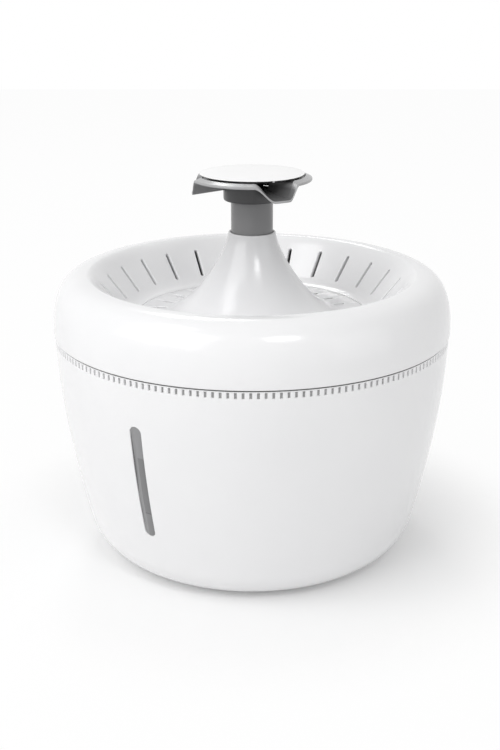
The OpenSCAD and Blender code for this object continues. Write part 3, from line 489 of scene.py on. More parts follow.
RISER_CLEAR = moulded("riser_milky", (0.62, 0.63, 0.64), (0.56, 0.57, 0.58), (0.3, 0.4), grain=1300.0)
GATE_GREY = moulded("gate_grey", (0.3, 0.3, 0.31), (0.26, 0.26, 0.27), (0.3, 0.45), grain=1400.0)
POTTING = moulded(
    "potting_resin", (0.02, 0.02, 0.022), (0.03, 0.03, 0.03), (0.08, 0.16), grain=120.0, relief=0.3
)
MAGNET_GREY = moulded(
    "ferrite_magnet", (0.06, 0.06, 0.065), (0.1, 0.1, 0.1), (0.5, 0.7), grain=3000.0, relief=0.05
)
CERAMIC = moulded("ceramic_white", (0.82, 0.81, 0.78), (0.76, 0.75, 0.72), (0.12, 0.2), grain=2500.0)
LEAD_JACKET = moulded(
    "lead_jacket", (0.03, 0.03, 0.03), (0.045, 0.045, 0.045), (0.4, 0.55), grain=1800.0, relief=0.03
)
NICKEL = worked_metal(
    "nickel_plate", (0.75, 0.73, 0.69), (0.6, 0.58, 0.55), 0.25, 900.0, (1.0, 6.0, 1.0)
)
CORE_STEEL = worked_metal(
    "core_laminations", (0.42, 0.42, 0.43), (0.2, 0.2, 0.21), 0.4, 700.0, (0.05, 0.05, 4.0)
)
COPPER = worked_metal(
    "winding_copper", (0.75, 0.32, 0.14), (0.5, 0.18, 0.07), 0.3, 900.0, (1.0, 1.0, 0.4)
)
SPONGE = cellular("filter_sponge", (0.11, 0.11, 0.12), (0.02, 0.02, 0.02), 1.1, 0.6, 0.9)
COTTON = cellular("filter_cotton", (0.86, 0.86, 0.84), (0.66, 0.66, 0.64), 1.6, 0.35, 0.95, fibre=0.8)
CARBON = cellular("carbon_granules", (0.05, 0.05, 0.05), (0.008, 0.008, 0.008), 1.7, 0.7, 0.6)


# ---------------- shape helpers


def polar(radius, turn):
    """The point x, y at that radius and bearing in degrees."""
    return radius * math.cos(math.radians(turn)), radius * math.sin(math.radians(turn))


def smooth_step(t):
    """Rises from 0 to 1 with flat ends while t goes from 0 to 1."""
    t = max(0.0, min(1.0, t))
    return t * t * (3 - 2 * t)


def bow(points, steps, first=0):
    """Points on the Bezier curve of those control points, from step first to the last."""
    degree = len(points) - 1
    made = []
    for i in range(first, steps + 1):
        t = i / steps
        weights = [math.comb(degree, k) * (1 - t) ** (degree - k) * t**k for k in range(degree + 1)]
        made.append(tuple(sum(w * p[axis] for w, p in zip(weights, points)) for axis in (0, 1)))
    return made


def beside(line, distance):
    """The line moved sideways by that distance, to its left."""
    made = []
    for i, (r, z) in enumerate(line):
        (r0, z0), (r1, z1) = line[max(i - 1, 0)], line[min(i + 1, len(line) - 1)]
        length = math.hypot(r1 - r0, z1 - z0)
        made.append((r - distance * (z1 - z0) / length, z + distance * (r1 - r0) / length))
    return made


def rounded(line, radius, steps=4):
    """Rounds each corner given as (r, z, 1) with that radius, and keeps the other points."""
    made, count = [], len(line)
    for i, point in enumerate(line):
        if len(point) < 3:
            made.append(point)
            continue
        here = Vector(point[:2])
        before, after = Vector(line[i - 1][:2]), Vector(line[(i + 1) % count][:2])
        size = radius * point[2]
        into, away = before - here, after - here
        reach = min(size, into.length * 0.45, away.length * 0.45)
        a, b = here + into.normalized() * reach, here + away.normalized() * reach
        made += bow([tuple(a), tuple(here), tuple(b)], steps)
    return made


def shape_of(name, vertices, faces, crease=FINE_CREASE):
    """A smooth object from vertices in millimetres, sharp where two faces meet at over crease degrees."""
    mesh = bpy.data.meshes.new(name)
    mesh.from_pydata([[c * MM for c in v] for v in vertices], [], faces)
    mesh.validate()
    mesh.shade_smooth()
    mesh.set_sharp_from_angle(angle=math.radians(crease))
    made = bpy.data.objects.new(name, mesh)
    scene.collection.objects.link(made)
    return made


def turned(line, columns=360, closed=True):
    """Shell of a line [(r, z)] that runs with the material on its left, turned round the Z axis."""
    vertices, rows, faces = [], [], []
    for point in line:
        r, z = point[:2]
        start = len(vertices)
        if r < 1e-6:
            vertices.append((0.0, 0.0, z))
            rows.append([start] * columns)
        else:
            vertices += [(*polar(r, 360.0 * c / columns), z) for c in range(columns)]
            rows.append(list(range(start, start + columns)))
    for low, high in zip(rows, rows[1:] + ([rows[0]] if closed else [])):
        if low[0] == low[-1] and high[0] == high[-1]:
            continue
        for c in range(columns):
            d = (c + 1) % columns
            loop = [low[c], low[d], high[d], high[c]]
            faces.append([v for k, v in enumerate(loop) if v != loop[k - 1]])
    return vertices, faces


def wrapped(columns, section, reverse=False):
    """Shell through the closed line section(turn), [(r, z)], at every column round the Z axis."""
    turns = [360.0 * c / columns for c in range(columns)]
    rings = [section(turn) for turn in turns]
    vertices = [(*polar(r, turn), z) for turn, ring in zip(turns, rings) for r, z in ring]
    faces, count = [], len(rings[0])
    for c in range(columns):
        here, ahead = c * count, (c + 1) % columns * count
        for k in range(count):
            j = (k + 1) % count
            loop = [here + k, ahead + k, ahead + j, here + j]
            faces.append(loop[:1] + loop[:0:-1] if reverse else loop)
    return vertices, faces


def outward(vertices, faces):
    """The closed shell with its faces turned outwards."""
    volume = 0.0
    for loop in faces:
        a = Vector(vertices[loop[0]])
        for i, j in zip(loop[1:], loop[2:]):
            volume += a.dot(Vector(vertices[i]).cross(Vector(vertices[j])))
    return vertices, faces if volume > 0 else [loop[::-1] for loop in faces]


def stacked(outline, levels, place):
    """Closed solid through outline(grow) at each (height, grow), put in space by place(u, v, w)."""
    vertices, faces, rows = [], [], []
    for height, grow in levels:
        ring = outline(grow)
        rows.append(list(range(len(vertices), len(vertices) + len(ring))))
        vertices += [place(u, v, height) for u, v in ring]
    count = len(rows[0])
    for low, high in zip(rows, rows[1:]):
        faces += [[low[c], low[(c + 1) % count], high[(c + 1) % count], high[c]] for c in range(count)]
    faces += [rows[0][::-1], rows[-1]]
    return outward(vertices, faces)


def long_hole(width, length, arc=12, side=1):
    """Outline of a hole with round ends, its length along v, grown by a distance."""

    def outline(grow):
        r, straight = width / 2 + grow, (length - width) / 2
        turns = [math.pi * k / arc for k in range(arc + 1)]
        ring = [(r * math.cos(turn), straight + r * math.sin(turn)) for turn in turns]
        ring += [(-r, straight * (1 - 2 * k / side)) for k in range(1, side)]
        ring += [(-u, -v) for u, v in ring[: arc + 1]]
        ring += [(r, straight * (2 * k / side - 1)) for k in range(1, side)]
        return ring

    return outline


def soft_box(width, length, corner, arc=4):
    """Outline of a rectangle with round corners, grown by a distance."""

    def outline(grow):
        ring, r = [], corner + grow
        for k, (su, sv) in enumerate([(1, 1), (-1, 1), (-1, -1), (1, -1)]):
            u, v = su * (width / 2 - corner), sv * (length / 2 - corner)
            for j in range(arc + 1):
                turn = math.radians(90 * (k + j / arc))
                ring.append((u + r * math.cos(turn), v + r * math.sin(turn)))
        return ring

    return outline


def sector(r0, r1, low, high, start, sweep, steps):
    """Closed ring sector between two radii and two heights, over sweep degrees from start."""
    rings = []
    for k in range(steps + 1):
        turn = start + sweep * k / steps
        rings.append([(*polar(r, turn), z) for r, z in ((r0, low), (r1, low), (r1, high), (r0, high))])
    vertices = [p for ring in rings for p in ring]
    faces = [
        [4 * k + j, 4 * k + (j + 1) % 4, 4 * k + 4 + (j + 1) % 4, 4 * k + 4 + j]
        for k in range(steps)
        for j in range(4)
    ]
    faces += [[3, 2, 1, 0], [4 * steps + j for j in range(4)]]
    return outward(vertices, faces)


# ---------------- geometry node trees


def copies_round_axis(tree, given):
    """Realised copies of the input Piece, Count of them round Z, the first at Bearing degrees."""
    points = add_node(tree, "GeometryNodePoints", Count=given["Count"])
    index = tree.nodes.new("GeometryNodeInputIndex")
    step = add_node(tree, "ShaderNodeMath", operation="DIVIDE", _0=360.0, _1=given["Count"])
    turn = add_node(
        tree, "ShaderNodeMath", operation="MULTIPLY_ADD", _0=index.outputs[0], _1=step.outputs[0],
        _2=given["Bearing"],
    )
    angle = add_node(tree, "ShaderNodeMath", operation="RADIANS", _0=turn.outputs[0])
    about = add_node(tree, "ShaderNodeCombineXYZ", Z=angle.outputs[0])
    source = add_node(tree, "GeometryNodeObjectInfo", Object=given["Piece"])
    put = add_node(
        tree, "GeometryNodeInstanceOnPoints", Points=points.outputs[0], Instance=source.outputs["Geometry"],
        Rotation=about.outputs[0],
    )
    return add_node(tree, "GeometryNodeRealizeInstances", _0=put.outputs[0]).outputs[0]


ROUND_SOCKETS = (
    ("Geometry", "Geometry"), ("Piece", "Object"), ("Count", "Int"), ("Bearing", "Float"),
    ("Material", "Material"),
)


def round_tree(name, cutting):
    """Geometry tree that makes copies of Piece round the axis, or cuts them out of the geometry."""
    tree = bpy.data.node_groups.new(name, "GeometryNodeTree")
    for label, kind in ROUND_SOCKETS:
        tree.interface.new_socket(name=label, in_out="INPUT", socket_type="NodeSocket" + kind)
    tree.interface.new_socket(name="Geometry", in_out="OUTPUT", socket_type="NodeSocketGeometry")
    given, out = tree.nodes.new("NodeGroupInput").outputs, tree.nodes.new("NodeGroupOutput")
    made = copies_round_axis(tree, given)
    if cutting:
        made = add_node(
            tree, "GeometryNodeMeshBoolean", operation="DIFFERENCE", solver="EXACT",
            _0=given["Geometry"], _1=made,
        ).outputs[0]
    paint = add_node(tree, "GeometryNodeSetMaterial", Geometry=made, Material=given["Material"])
    tree.links.new(paint.outputs[0], out.inputs[0])
    return tree


RING_TREE = round_tree("Copies round the axis", cutting=False)
CUT_TREE = round_tree("Cuts round the axis", cutting=True)


def run_tree(tree, piece, **values):
    """Runs the tree on the piece with those named inputs, and leaves its result as a plain mesh."""
    step = piece.modifiers.new(tree.name, "NODES")
    step.node_group = tree
    keys = {s.name: s.identifier for s in tree.interface.items_tree if s.in_out == "INPUT"}
    for name, value in values.items():
        step[keys[name]] = value
    graph = bpy.context.evaluated_depsgraph_get()
    mesh = bpy.data.meshes.new_from_object(piece.evaluated_get(graph), depsgraph=graph)
    piece.modifiers.clear()
    piece.data = mesh
    return piece


def cut_round(piece, solid, material, count=1, bearing=0.0):
    """Cuts the solid out of the piece count times round Z."""
    tool = shape_of("tool", *solid)
    run_tree(CUT_TREE, piece, Piece=tool, Count=count, Bearing=bearing, Material=material)
    bpy.data.objects.remove(tool)
    piece.data.shade_smooth()
    piece.data.set_sharp_from_angle(angle=math.radians(CUT_CREASE))


def ring_of(name, solid, count, bearing, material):
    """Count copies of the solid round Z as one piece."""
    tool = shape_of("tool", *solid)
    piece = shape_of(name, [(0, 0, 0)], [])
    run_tree(RING_TREE, piece, Piece=tool, Count=count, Bearing=bearing, Material=material)
    bpy.data.objects.remove(tool)
    return piece


def dressed(piece, material, body, slot, *stands_for):
    """Gives the piece its material, puts it on its body, and hides the nodes it stands for. The slot is not
    used.
    """
    piece.data.materials.clear()
    piece.data.materials.append(material)
    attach(piece, body)
    if stands_for:
        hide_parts(*stands_for)
    return piece


def paint_shade_on_faces(piece, material, inside):
    """Gives the faces whose middle passes the test a second material, which in this script always paints
    shade.
    """
    piece.data.materials.append(material)
    for face in piece.data.polygons:
        x, y, z = face.center * PER_METRE
        face.material_index = int(inside(math.hypot(x, y), z))


# ---------------- tank

EDGE_END_R = TANK_TOP_R - TANK_TAPER
EDGE_MID_R = EDGE_END_R - FOOT_ROUND * math.cos(FOOT_LEAN)
EDGE_END_Z = BASE_Z + FOOT_ROUND * (1 - math.sin(FOOT_LEAN))
SIDE_POWER = math.tan(FOOT_LEAN) * (SEAM_Z - EDGE_END_Z) / TANK_TAPER


def side_r(z):
    """Radius of the tank's outer face at height z."""
    return TANK_TOP_R - TANK_TAPER * max(0.0, (SEAM_Z - z) / (SEAM_Z - EDGE_END_Z)) ** SIDE_POWER


def side_normal(z):
    """Outward and upward parts of the direction that leaves the tank's side at height z."""
    slope = (side_r(z + 0.1) - side_r(z - 0.1)) / 0.2
    size = math.hypot(1.0, slope)
    return 1.0 / size, -slope / size


def tank_face(top):
    """Outer face of the tank from the edge of its flat base up to a height."""
    line = []
    for i in range(25):
        turn = -math.pi / 2 + i * (math.pi / 2 - FOOT_LEAN) / 24
        line.append((EDGE_MID_R + FOOT_ROUND * math.cos(turn), BASE_Z + FOOT_ROUND * (1 + math.sin(turn))))
    steps = 52
    for i in range(1, steps + 1):
        z = EDGE_END_Z + i * (top - EDGE_END_Z) / steps
        line.append((side_r(z), z))
    return line


def on_tank(u, v, w):
    """Point at arc distance u from the window's middle, height v above it and w outside the wall."""
    z = WINDOW_Z + v
    out, up = side_normal(z)
    r = side_r(z) + w * out
    turn = WINDOW_BEARING + math.degrees(u / side_r(WINDOW_Z))
    return (*polar(r, turn), z + w * up)


def facing_back(u, v, w):
    """Point on the inlet's axis frame: u sideways, v up and w backwards, in millimetres."""
    return (-u, w, INLET_Z + v)


def round_outline(radius, count=48):
    """Outline of a circle, grown by a distance."""
    return lambda grow: [polar(radius + grow, 360.0 * k / count) for k in range(count)]


WINDOW_HOLE = long_hole(WINDOW_W, WINDOW_LEN, arc=16, side=24)
GROOVE_HIGH = SEAM_Z - NOTCH_RIM
GROOVE_LOW = GROOVE_HIGH - NOTCH_H
GROOVE_R = TANK_TOP_R - NOTCH_DEPTH
BOSS_Y = side_r(INLET_Z) - TANK_WALL - BOSS_DEPTH


def tank_line():
    """Closed wall of the tank, with the groove that the grip teeth stand in under the seam."""
    low, high = GROOVE_LOW, GROOVE_HIGH
    inner = beside(tank_face(SEAM_Z), TANK_WALL)
    line = [(0.0, BASE_Z), (20.0, BASE_Z), (45.0, BASE_Z)] + tank_face(low)
    line += [
        (side_r(low) - 0.12, low + 0.1), (GROOVE_R + 0.05, low + 0.12), (GROOVE_R, low + 0.2),
        (GROOVE_R, high - 0.2), (GROOVE_R + 0.05, high - 0.12), (side_r(high) - 0.12, high - 0.1),
        (side_r(high), high), (TANK_TOP_R, SEAM_Z - 0.15), (TANK_TOP_R - 0.15, SEAM_Z),
        (LAND_R, SEAM_Z), (LAND_R, LAND_Z), (TANK_TOP_R - TANK_WALL, LAND_Z),
    ]
    line += [p for p in inner[::-1] if p[1] < SEAM_Z - 0.3]
    return line + [(45.0, BASE_Z + TANK_WALL), (0.0, BASE_Z + TANK_WALL)]


def in_tank_painted_shade(r, z):
    """True on the floor of the groove and on the land behind the seam, where shade is painted."""
    if z > SEAM_Z - 0.05:
        return LAND_R - 0.1 < r < TANK_TOP_R - 0.3
    return GROOVE_LOW < z < GROOVE_HIGH and abs(r - GROOVE_R) < 0.06


def make_tank():
    """Wall with the window opening, the seats of the foot pads and the hole of the power inlet."""
    tank = shape_of("tank_shell", *turned(tank_line(), closed=False))
    window_edge = [(-7.0, 0.0), (-0.25, 0.0), (-0.1, 0.04), (0.0, 0.15), (0.2, 0.5), (2.0, 0.5)]
    cut_round(tank, stacked(WINDOW_HOLE, window_edge, on_tank), SHELL_WHITE)
    pad = stacked(
        round_outline(PAD_R + 0.05), [(-1.0, 0.0), (BASE_Z + 1.2, 0.0)],
        lambda u, v, w: (PAD_CIRCLE_R + u, v, w),
    )
    cut_round(tank, pad, SHELL_WHITE, 4, 45.0)
    face_y = side_r(INLET_Z) - 0.8
    flange_seat, bore = (FLANGE_R + 0.3, face_y, face_y + 10), (BARREL_R + 0.05, face_y - 12, face_y + 6)
    for radius, start, end in (flange_seat, bore):
        hole = stacked(round_outline(radius), [(start, 0.0), (end, 0.0)], facing_back)
        cut_round(tank, hole, SHELL_WHITE)
    dressed(tank, SHELL_WHITE, "tank_body", "white", "tank")
    # Painted shade on the groove floor and on the land behind the seam.
    paint_shade_on_faces(tank, RECESS_PAINTED_SHADE, in_tank_painted_shade)


def make_teeth():
    """The grip teeth, whose gaps are the notches under the seam."""
    half_gap = math.degrees(math.asin(NOTCH_W / 2 / TANK_TOP_R))
    pitch = 360.0 / NOTCH_COUNT
    width = math.radians(pitch - 2 * half_gap) * TANK_TOP_R
    tooth = stacked(
        soft_box(width, 1.6, 0.22, arc=3),
        [(GROOVE_LOW - 0.05, 0.0), (GROOVE_HIGH + 0.05, 0.0)],
        lambda u, v, w: (side_r(GROOVE_LOW) - 0.83 + v, -u, w),
    )
    teeth = ring_of("grip_teeth", tooth, NOTCH_COUNT, NOTCH_BEARING + pitch / 2, SHELL_WHITE)
    dressed(teeth, SHELL_WHITE, "tank_body", "white")


def make_boss():
    """Thicker ring of the wall round the power inlet, on the inside."""
    r_in, r_out, end = BARREL_R + 0.05, FLANGE_R + 1.6, BOSS_Y + 4.0
    outside = rounded([(r_in, BOSS_Y), (r_out, BOSS_Y, 1), (r_out, end), (r_in, end)], 0.4)
    vertices, faces = turned(outside, columns=72)
    boss = shape_of("inlet_boss", [(x, z, INLET_Z + y) for x, y, z in vertices], [f[::-1] for f in faces])
    dressed(boss, SHELL_WHITE, "tank_body", "white")


def make_window():
    """The lens, with its flange behind the wall."""
    back = TANK_WALL + GASKET_T
    lens = stacked(
        WINDOW_HOLE,
        [
            (-back - LENS_FLANGE_T, WINDOW_FLANGE - 0.3), (-back - LENS_FLANGE_T + 0.3, WINDOW_FLANGE),
            (-back, WINDOW_FLANGE), (-back + 0.01, -0.05), (-WINDOW_RECESS - 0.25, -0.05),
            (-WINDOW_RECESS - 0.08, -0.1), (-WINDOW_RECESS, -0.25),
        ],
        on_tank,
    )
    dressed(shape_of("window_glass", *lens), SMOKE_LENS, "tank_body", "smoke_window", "window_lens")


# ---------------- drinking tray and cone

SLOPE = (SLOT_TOP[1] - SLOT_LOW[1]) / (SLOT_TOP[0] - SLOT_LOW[0])


def tray_face():
    """Top face of the tray, from the seam over the crest and down the wall to the bowl's floor."""
    line, steps, power = [], 60, 2 / SHOULDER_POWER
    for i in range(steps + 1):
        turn = math.pi / 2 * i / steps
        r = CREST_R + (BODY_R - CREST_R) * math.cos(turn) ** power if i < steps else CREST_R
        line.append((r, LAND_Z + (CREST_Z - LAND_Z) * math.sin(turn) ** power))
    roll_r = SLOT_TOP[0] + (CREST_Z - SLOT_TOP[1]) / SLOPE
    foot_r = SLOT_LOW[0] - (SLOT_LOW[1] - BOWL_FLOOR_Z) / SLOPE
    roll_end = (SLOT_TOP[0] + 1.6, SLOT_TOP[1] + 1.6 * SLOPE)
    line += bow([(CREST_R, CREST_Z), (roll_r, CREST_Z), roll_end], 20, 1)
    line += [
        tuple(a + (b - a) * k / 14 for a, b in zip(roll_end, SLOT_LOW))
        for k in range(1, 14)
    ]
    line += bow([SLOT_LOW, (foot_r, BOWL_FLOOR_Z), (BOWL_FLOOR_R + 0.3, BOWL_FLOOR_Z)], 14)
    return line


def make_tray():
    """Ring cover that rolls over into the funnel wall, with the slots that drain it."""
    face = tray_face()
    back = beside(face, TRAY_WALL)
    line = [(BODY_R - 0.45, LAND_Z), (BODY_R - 0.12, LAND_Z + 0.12)]
    line += [p for p in face if p[1] > LAND_Z + 0.3 or p[0] < CREST_R]
    line += [(BOWL_FLOOR_R, BOWL_FLOOR_Z - 0.3), (BOWL_FLOOR_R, LEDGE_Z), (LEDGE_R, LEDGE_Z)]
    line += [(LEDGE_R, LEDGE_Z - TRAY_WALL), (BOWL_FLOOR_R + 3, LEDGE_Z - TRAY_WALL)]
    line += [p for p in back[::-1] if p[1] > LAND_Z + 2.2 and p[0] > BOWL_FLOOR_R + 3.2]
    line += [
        (BODY_R - TRAY_WALL, LAND_Z + 2), (SKIRT_R, LAND_Z + 2), (SKIRT_R, LAND_Z + 3),
        (SKIRT_R - 2, LAND_Z + 3), (SKIRT_R - 2, LAND_Z - 6), (SKIRT_R, LAND_Z - 6), (SKIRT_R, LAND_Z),
    ]
    tray = shape_of("tray_ring", *turned(line))
    middle = [(a + b) / 2 for a, b in zip(SLOT_TOP, SLOT_LOW)]
    length = math.dist(SLOT_TOP, SLOT_LOW)
    along = [(a - b) / length for a, b in zip(SLOT_TOP, SLOT_LOW)]

    def on_slope(u, v, w):
        return middle[0] + v * along[0] - w * along[1], u, middle[1] + v * along[1] + w * along[0]

    slot_edge = [(-6.0, 0.0), (-0.5, 0.0), (-0.25, 0.06), (-0.1, 0.16), (0.0, 0.32), (0.15, 0.7), (1.2, 0.8)]
    slot = stacked(long_hole(SLOT_W, length), slot_edge, on_slope)
    cut_round(tray, slot, SHELL_WHITE, SLOT_COUNT, SLOT_BEARING)
    dressed(tray, SHELL_WHITE, "tray_body", "white", "drinking_tray")
    # Painted shade on the tray's underside where it shows in the seam gap.
    paint_shade_on_faces(tray, RECESS_PAINTED_SHADE, lambda r, z: SKIRT_R - 0.1 < r < BODY_R - 0.6 and z < LAND_Z + 0.05)


def make_cone():
    """Trumpet with its floor, floor slots, stem socket and bayonet skirt."""
    throat, flare = (CONE_TOP_R + 1.45, CONE_TOP_Z - 12.9), (33, BOWL_FLOOR_Z + 0.6)
    face = bow([(CONE_TOP_R, CONE_TOP_Z), throat, flare, (CONE_FOOT_R, BOWL_FLOOR_Z)], 72)
    back = beside(face, -CONE_WALL)
    edge_r = BOWL_FLOOR_R - 0.4
    socket_r = STEM_HOLE_R + 1.6
    line = [(edge_r, LEDGE_Z), (edge_r, BOWL_FLOOR_Z - 0.35)]
    line += [(edge_r - 0.1, BOWL_FLOOR_Z - 0.1), (edge_r - 0.35, BOWL_FLOOR_Z)]
    line += face[:0:-1]
    line += [
        (CONE_TOP_R + 0.03, CONE_TOP_Z - 0.35), (CONE_TOP_R - 0.12, CONE_TOP_Z - 0.1),
        (CONE_TOP_R - 0.4, CONE_TOP_Z),
        (STEM_HOLE_R + 0.2, CONE_TOP_Z), (STEM_HOLE_R, CONE_TOP_Z - 0.25), (STEM_HOLE_R, SOCKET_END_Z),
        (RISER_R + 0.8, SOCKET_END_Z), (RISER_R + 0.8, SOCKET_END_Z - 1.6), (socket_r, SOCKET_END_Z - 1.6),
    ]
    under = [p for p in back if p[0] > socket_r + 0.05 and p[1] > LEDGE_Z + 0.02]
    line += [(socket_r, under[0][1])] + under
    line += [
        (CONE_FOOT_R, LEDGE_Z), (BAYONET_R[0], LEDGE_Z), (BAYONET_R[0], BAYONET_LOW_Z),
        (BAYONET_R[1], BAYONET_LOW_Z), (BAYONET_R[1], LEDGE_Z),
    ]
    cone = shape_of("trumpet_cone", *turned(line))
    slot_edge = [(-4.0, 0.0), (-0.45, 0.0), (-0.22, 0.06), (-0.08, 0.16), (0.02, 0.3), (0.3, 0.7), (1.0, 0.7)]
    slot = stacked(
        long_hole(SLOT_W, FLOOR_SLOT[1] - FLOOR_SLOT[0]),
        slot_edge,
        lambda u, v, w: ((FLOOR_SLOT[0] + FLOOR_SLOT[1]) / 2 + v, -u, BOWL_FLOOR_Z + w),
    )
    cut_round(cone, slot, CONE_WHITE, SLOT_COUNT, SLOT_BEARING)
    lug_z = BAYONET_LOW_Z + 3.6
    track = (lug_z - 0.4, lug_z + 3.4, -6.0, 32.0, 16)
    entry = (BAYONET_LOW_Z - 1, lug_z + 2, 14.0, 11.6, 8)
    for gap in (track, entry):
        cut_round(cone, sector(BAYONET_R[0] - 1, BAYONET_R[1] + 1, *gap), CONE_WHITE, 3)
    dressed(cone, CONE_WHITE, "cone_body", "white", "fountain_cone")


# ---------------- spout


def make_stem():
    """Tube with a spigot for the head above and a stop and seal groove for the riser below."""
    bore, riser_stop = RISER_R + 0.1, SOCKET_END_Z + 11
    groove_low, groove_high, groove_r = SOCKET_END_Z + 3.6 - 1.05, SOCKET_END_Z + 3.6 + 1.05, bore + 1.5
    line = [
        (bore, SOCKET_END_Z), (STEM_R, SOCKET_END_Z, 1), (STEM_R, STEM_TOP_Z), (SPIGOT_R, STEM_TOP_Z),
        (SPIGOT_R, WELL_Z, 1), (bore - 1.6, WELL_Z), (bore - 1.6, riser_stop), (bore, riser_stop),
        (bore, groove_high), (groove_r, groove_high), (groove_r, groove_low), (bore, groove_low),
    ]
    stem = shape_of("stem_tube", *turned(rounded(line, 0.4), columns=128))
    dressed(stem, STEM_GREY, "stem_body", "stem_grey", "spout_stem")


def chute_side(turn):
    """1 in the middle of a chute, 0 between the chutes."""
    off = (turn - CHUTE_BEARING + CHUTE_PITCH / 2) % CHUTE_PITCH - CHUTE_PITCH / 2
    left = smooth_step((off + CHUTE_EDGES[0]) / CHUTE_SLOPES[0])
    return min(left, smooth_step((CHUTE_EDGES[1] - off) / CHUTE_SLOPES[1]))


def chute_sag(r, turn):
    """How far the leaf hangs below its flat at radius r and that bearing."""
    near, far = CHUTE_DROP
    return chute_side(turn) * (near + (far - near) * (r - NECK_R) / (LEAF_R - NECK_R))


def make_neck():
    """Cup whose upper edge runs just under the leaf, down through the chutes."""
    low, top = STEM_TOP_Z, STEM_TOP_Z + NECK_H
    foot = rounded([(SPIGOT_R + 0.05, low), (NECK_R, low, 1), (NECK_R, low + 4)], 1.2, 6)[:-1]
    edge = bow([(NECK_R, top - 0.3), (NECK_R, top), (NECK_R - 0.3, top)], 3)
    edge += bow([(WELL_R + 0.3, top), (WELL_R, top), (WELL_R, top - 0.3)], 3)
    profile = [(*p, 0.0) for p in foot] + [(*p, 1.0) for p in edge]
    profile += [(WELL_R, WELL_Z, 0.0), (SPIGOT_R + 0.05, WELL_Z, 0.0)]

    def section(turn):
        sag = chute_sag(NECK_R, turn)
        cut = 0.05 + 1.05 * sag if sag > 0 else 0.0
        return [(r, z - cut * follows) for r, z, follows in profile]

    neck = shape_of("neck_cup", *wrapped(360, section))
    dressed(neck, NECK_GREY_AND_CAP_SHADE, "head_body", "neck_grey", "spout_neck")


def make_leaf():
    """Thin flange with a lip round the cap and sunken chutes, its rim rounded by edge."""
    r_in, foot_r, edge = WELL_R - 1, LIP_R - 0.15, 0.35
    flat = [(r_in + (foot_r - r_in) * k / 16, 0.0, 0.0) for k in range(17)]
    crest = [(LIP_R - 0.13, 0.0, 0.5), (LIP_R - 0.06, 0.0, LIP_H - 0.3), (LIP_R + 0.03, 0.0, LIP_H - 0.1)]
    slope = [(LIP_R + 0.2 + (LEAF_R - edge - LIP_R - 0.2) * k / 10, 0.0) for k in range(11)]
    slope += bow([(LEAF_R - edge, 0.0), (LEAF_R, 0.0), (LEAF_R, LEAF_T / 2)], 4, 1)
    slope = [(r, down, LIP_H * (LEAF_R - r) / (LEAF_R - LIP_R)) for r, down in slope]
    under = bow([(LEAF_R, LEAF_T / 2), (LEAF_R, LEAF_T), (LEAF_R - edge, LEAF_T)], 4, 1)
    under += [(LEAF_R - edge - (LEAF_R - edge - r_in) * k / 24, LEAF_T) for k in range(1, 25)]
    profile = flat + crest + slope + [(r, down, 0.0) for r, down in under]

    def section(turn):
        flat_share = 1 - chute_side(turn)
        return [(r, LEAF_Z - down - chute_sag(r, turn) + rise * flat_share) for r, down, rise in profile]

    leaf = shape_of("leaf_flange", *wrapped(360, section, reverse=True))
    dressed(leaf, LEAF_GREY, "head_body", "leaf_grey", "spout_leaf")


def make_cap():
    """White disc whose lower side is painted dark grey as shade, and the small tab on its edge."""
    top_z = CAP_Z + CAP_T
    edge = [(CAP_R - 2.4, CAP_Z, 1), (CAP_R, top_z - 0.3, 1), (CAP_R, top_z, 1)]
    line = rounded([(0.0, CAP_Z)] + edge + [(0.0, top_z)], 0.1)
    line.insert(-1, (14.0, top_z))
    disc = shape_of("cap_disc", *turned(line, columns=192, closed=False))
    dressed(disc, CAP_WHITE, "cap_body", "white", "spout_cap")
    # Painted shade: the faces below the disc's top get the neck's dark grey.
    paint_shade_on_faces(disc, NECK_GREY_AND_CAP_SHADE, lambda r, z: z < top_z - 0.12)
    turn = Matrix.Rotation(math.radians(TAB_BEARING), 3, "Z")
    top, low = CAP_T - 0.1, CAP_T - CAP_TAB
    edge = [(-1.1, top), (-0.75, low + 0.3), (-0.4, low + 0.05), (-0.25, low)]
    edge += [(-u, v) for u, v in edge[::-1]]
    tab = stacked(
        lambda grow: [(u * (1 + grow), v) for u, v in edge],
        [(CAP_R - 1.3, 0.0), (CAP_R - 0.25, 0.0), (CAP_R - 0.1, -0.1)],
        lambda u, v, w: tuple(turn @ Vector((w, u, CAP_Z + v))),
    )
    dressed(shape_of("cap_tab", *tab), CAP_WHITE, "cap_body", "white")


# ---------------- soft pieces and the lead


def smooth_route(points, per_span):
    """Catmull-Rom curve through points, as vectors."""
    ends = [2 * points[0] - points[1]] + points + [2 * points[-1] - points[-2]]
    made = []
    for a, b, c, d in zip(ends, ends[1:], ends[2:], ends[3:]):
        for k in range(per_span):
            t = k / per_span
            square, cube = (2 * a - 5 * b + 4 * c - d) * t * t, (3 * b - a - 3 * c + d) * t**3
            made.append(0.5 * ((2 * b) + (c - a) * t + square + cube))
    return made + [points[-1]]


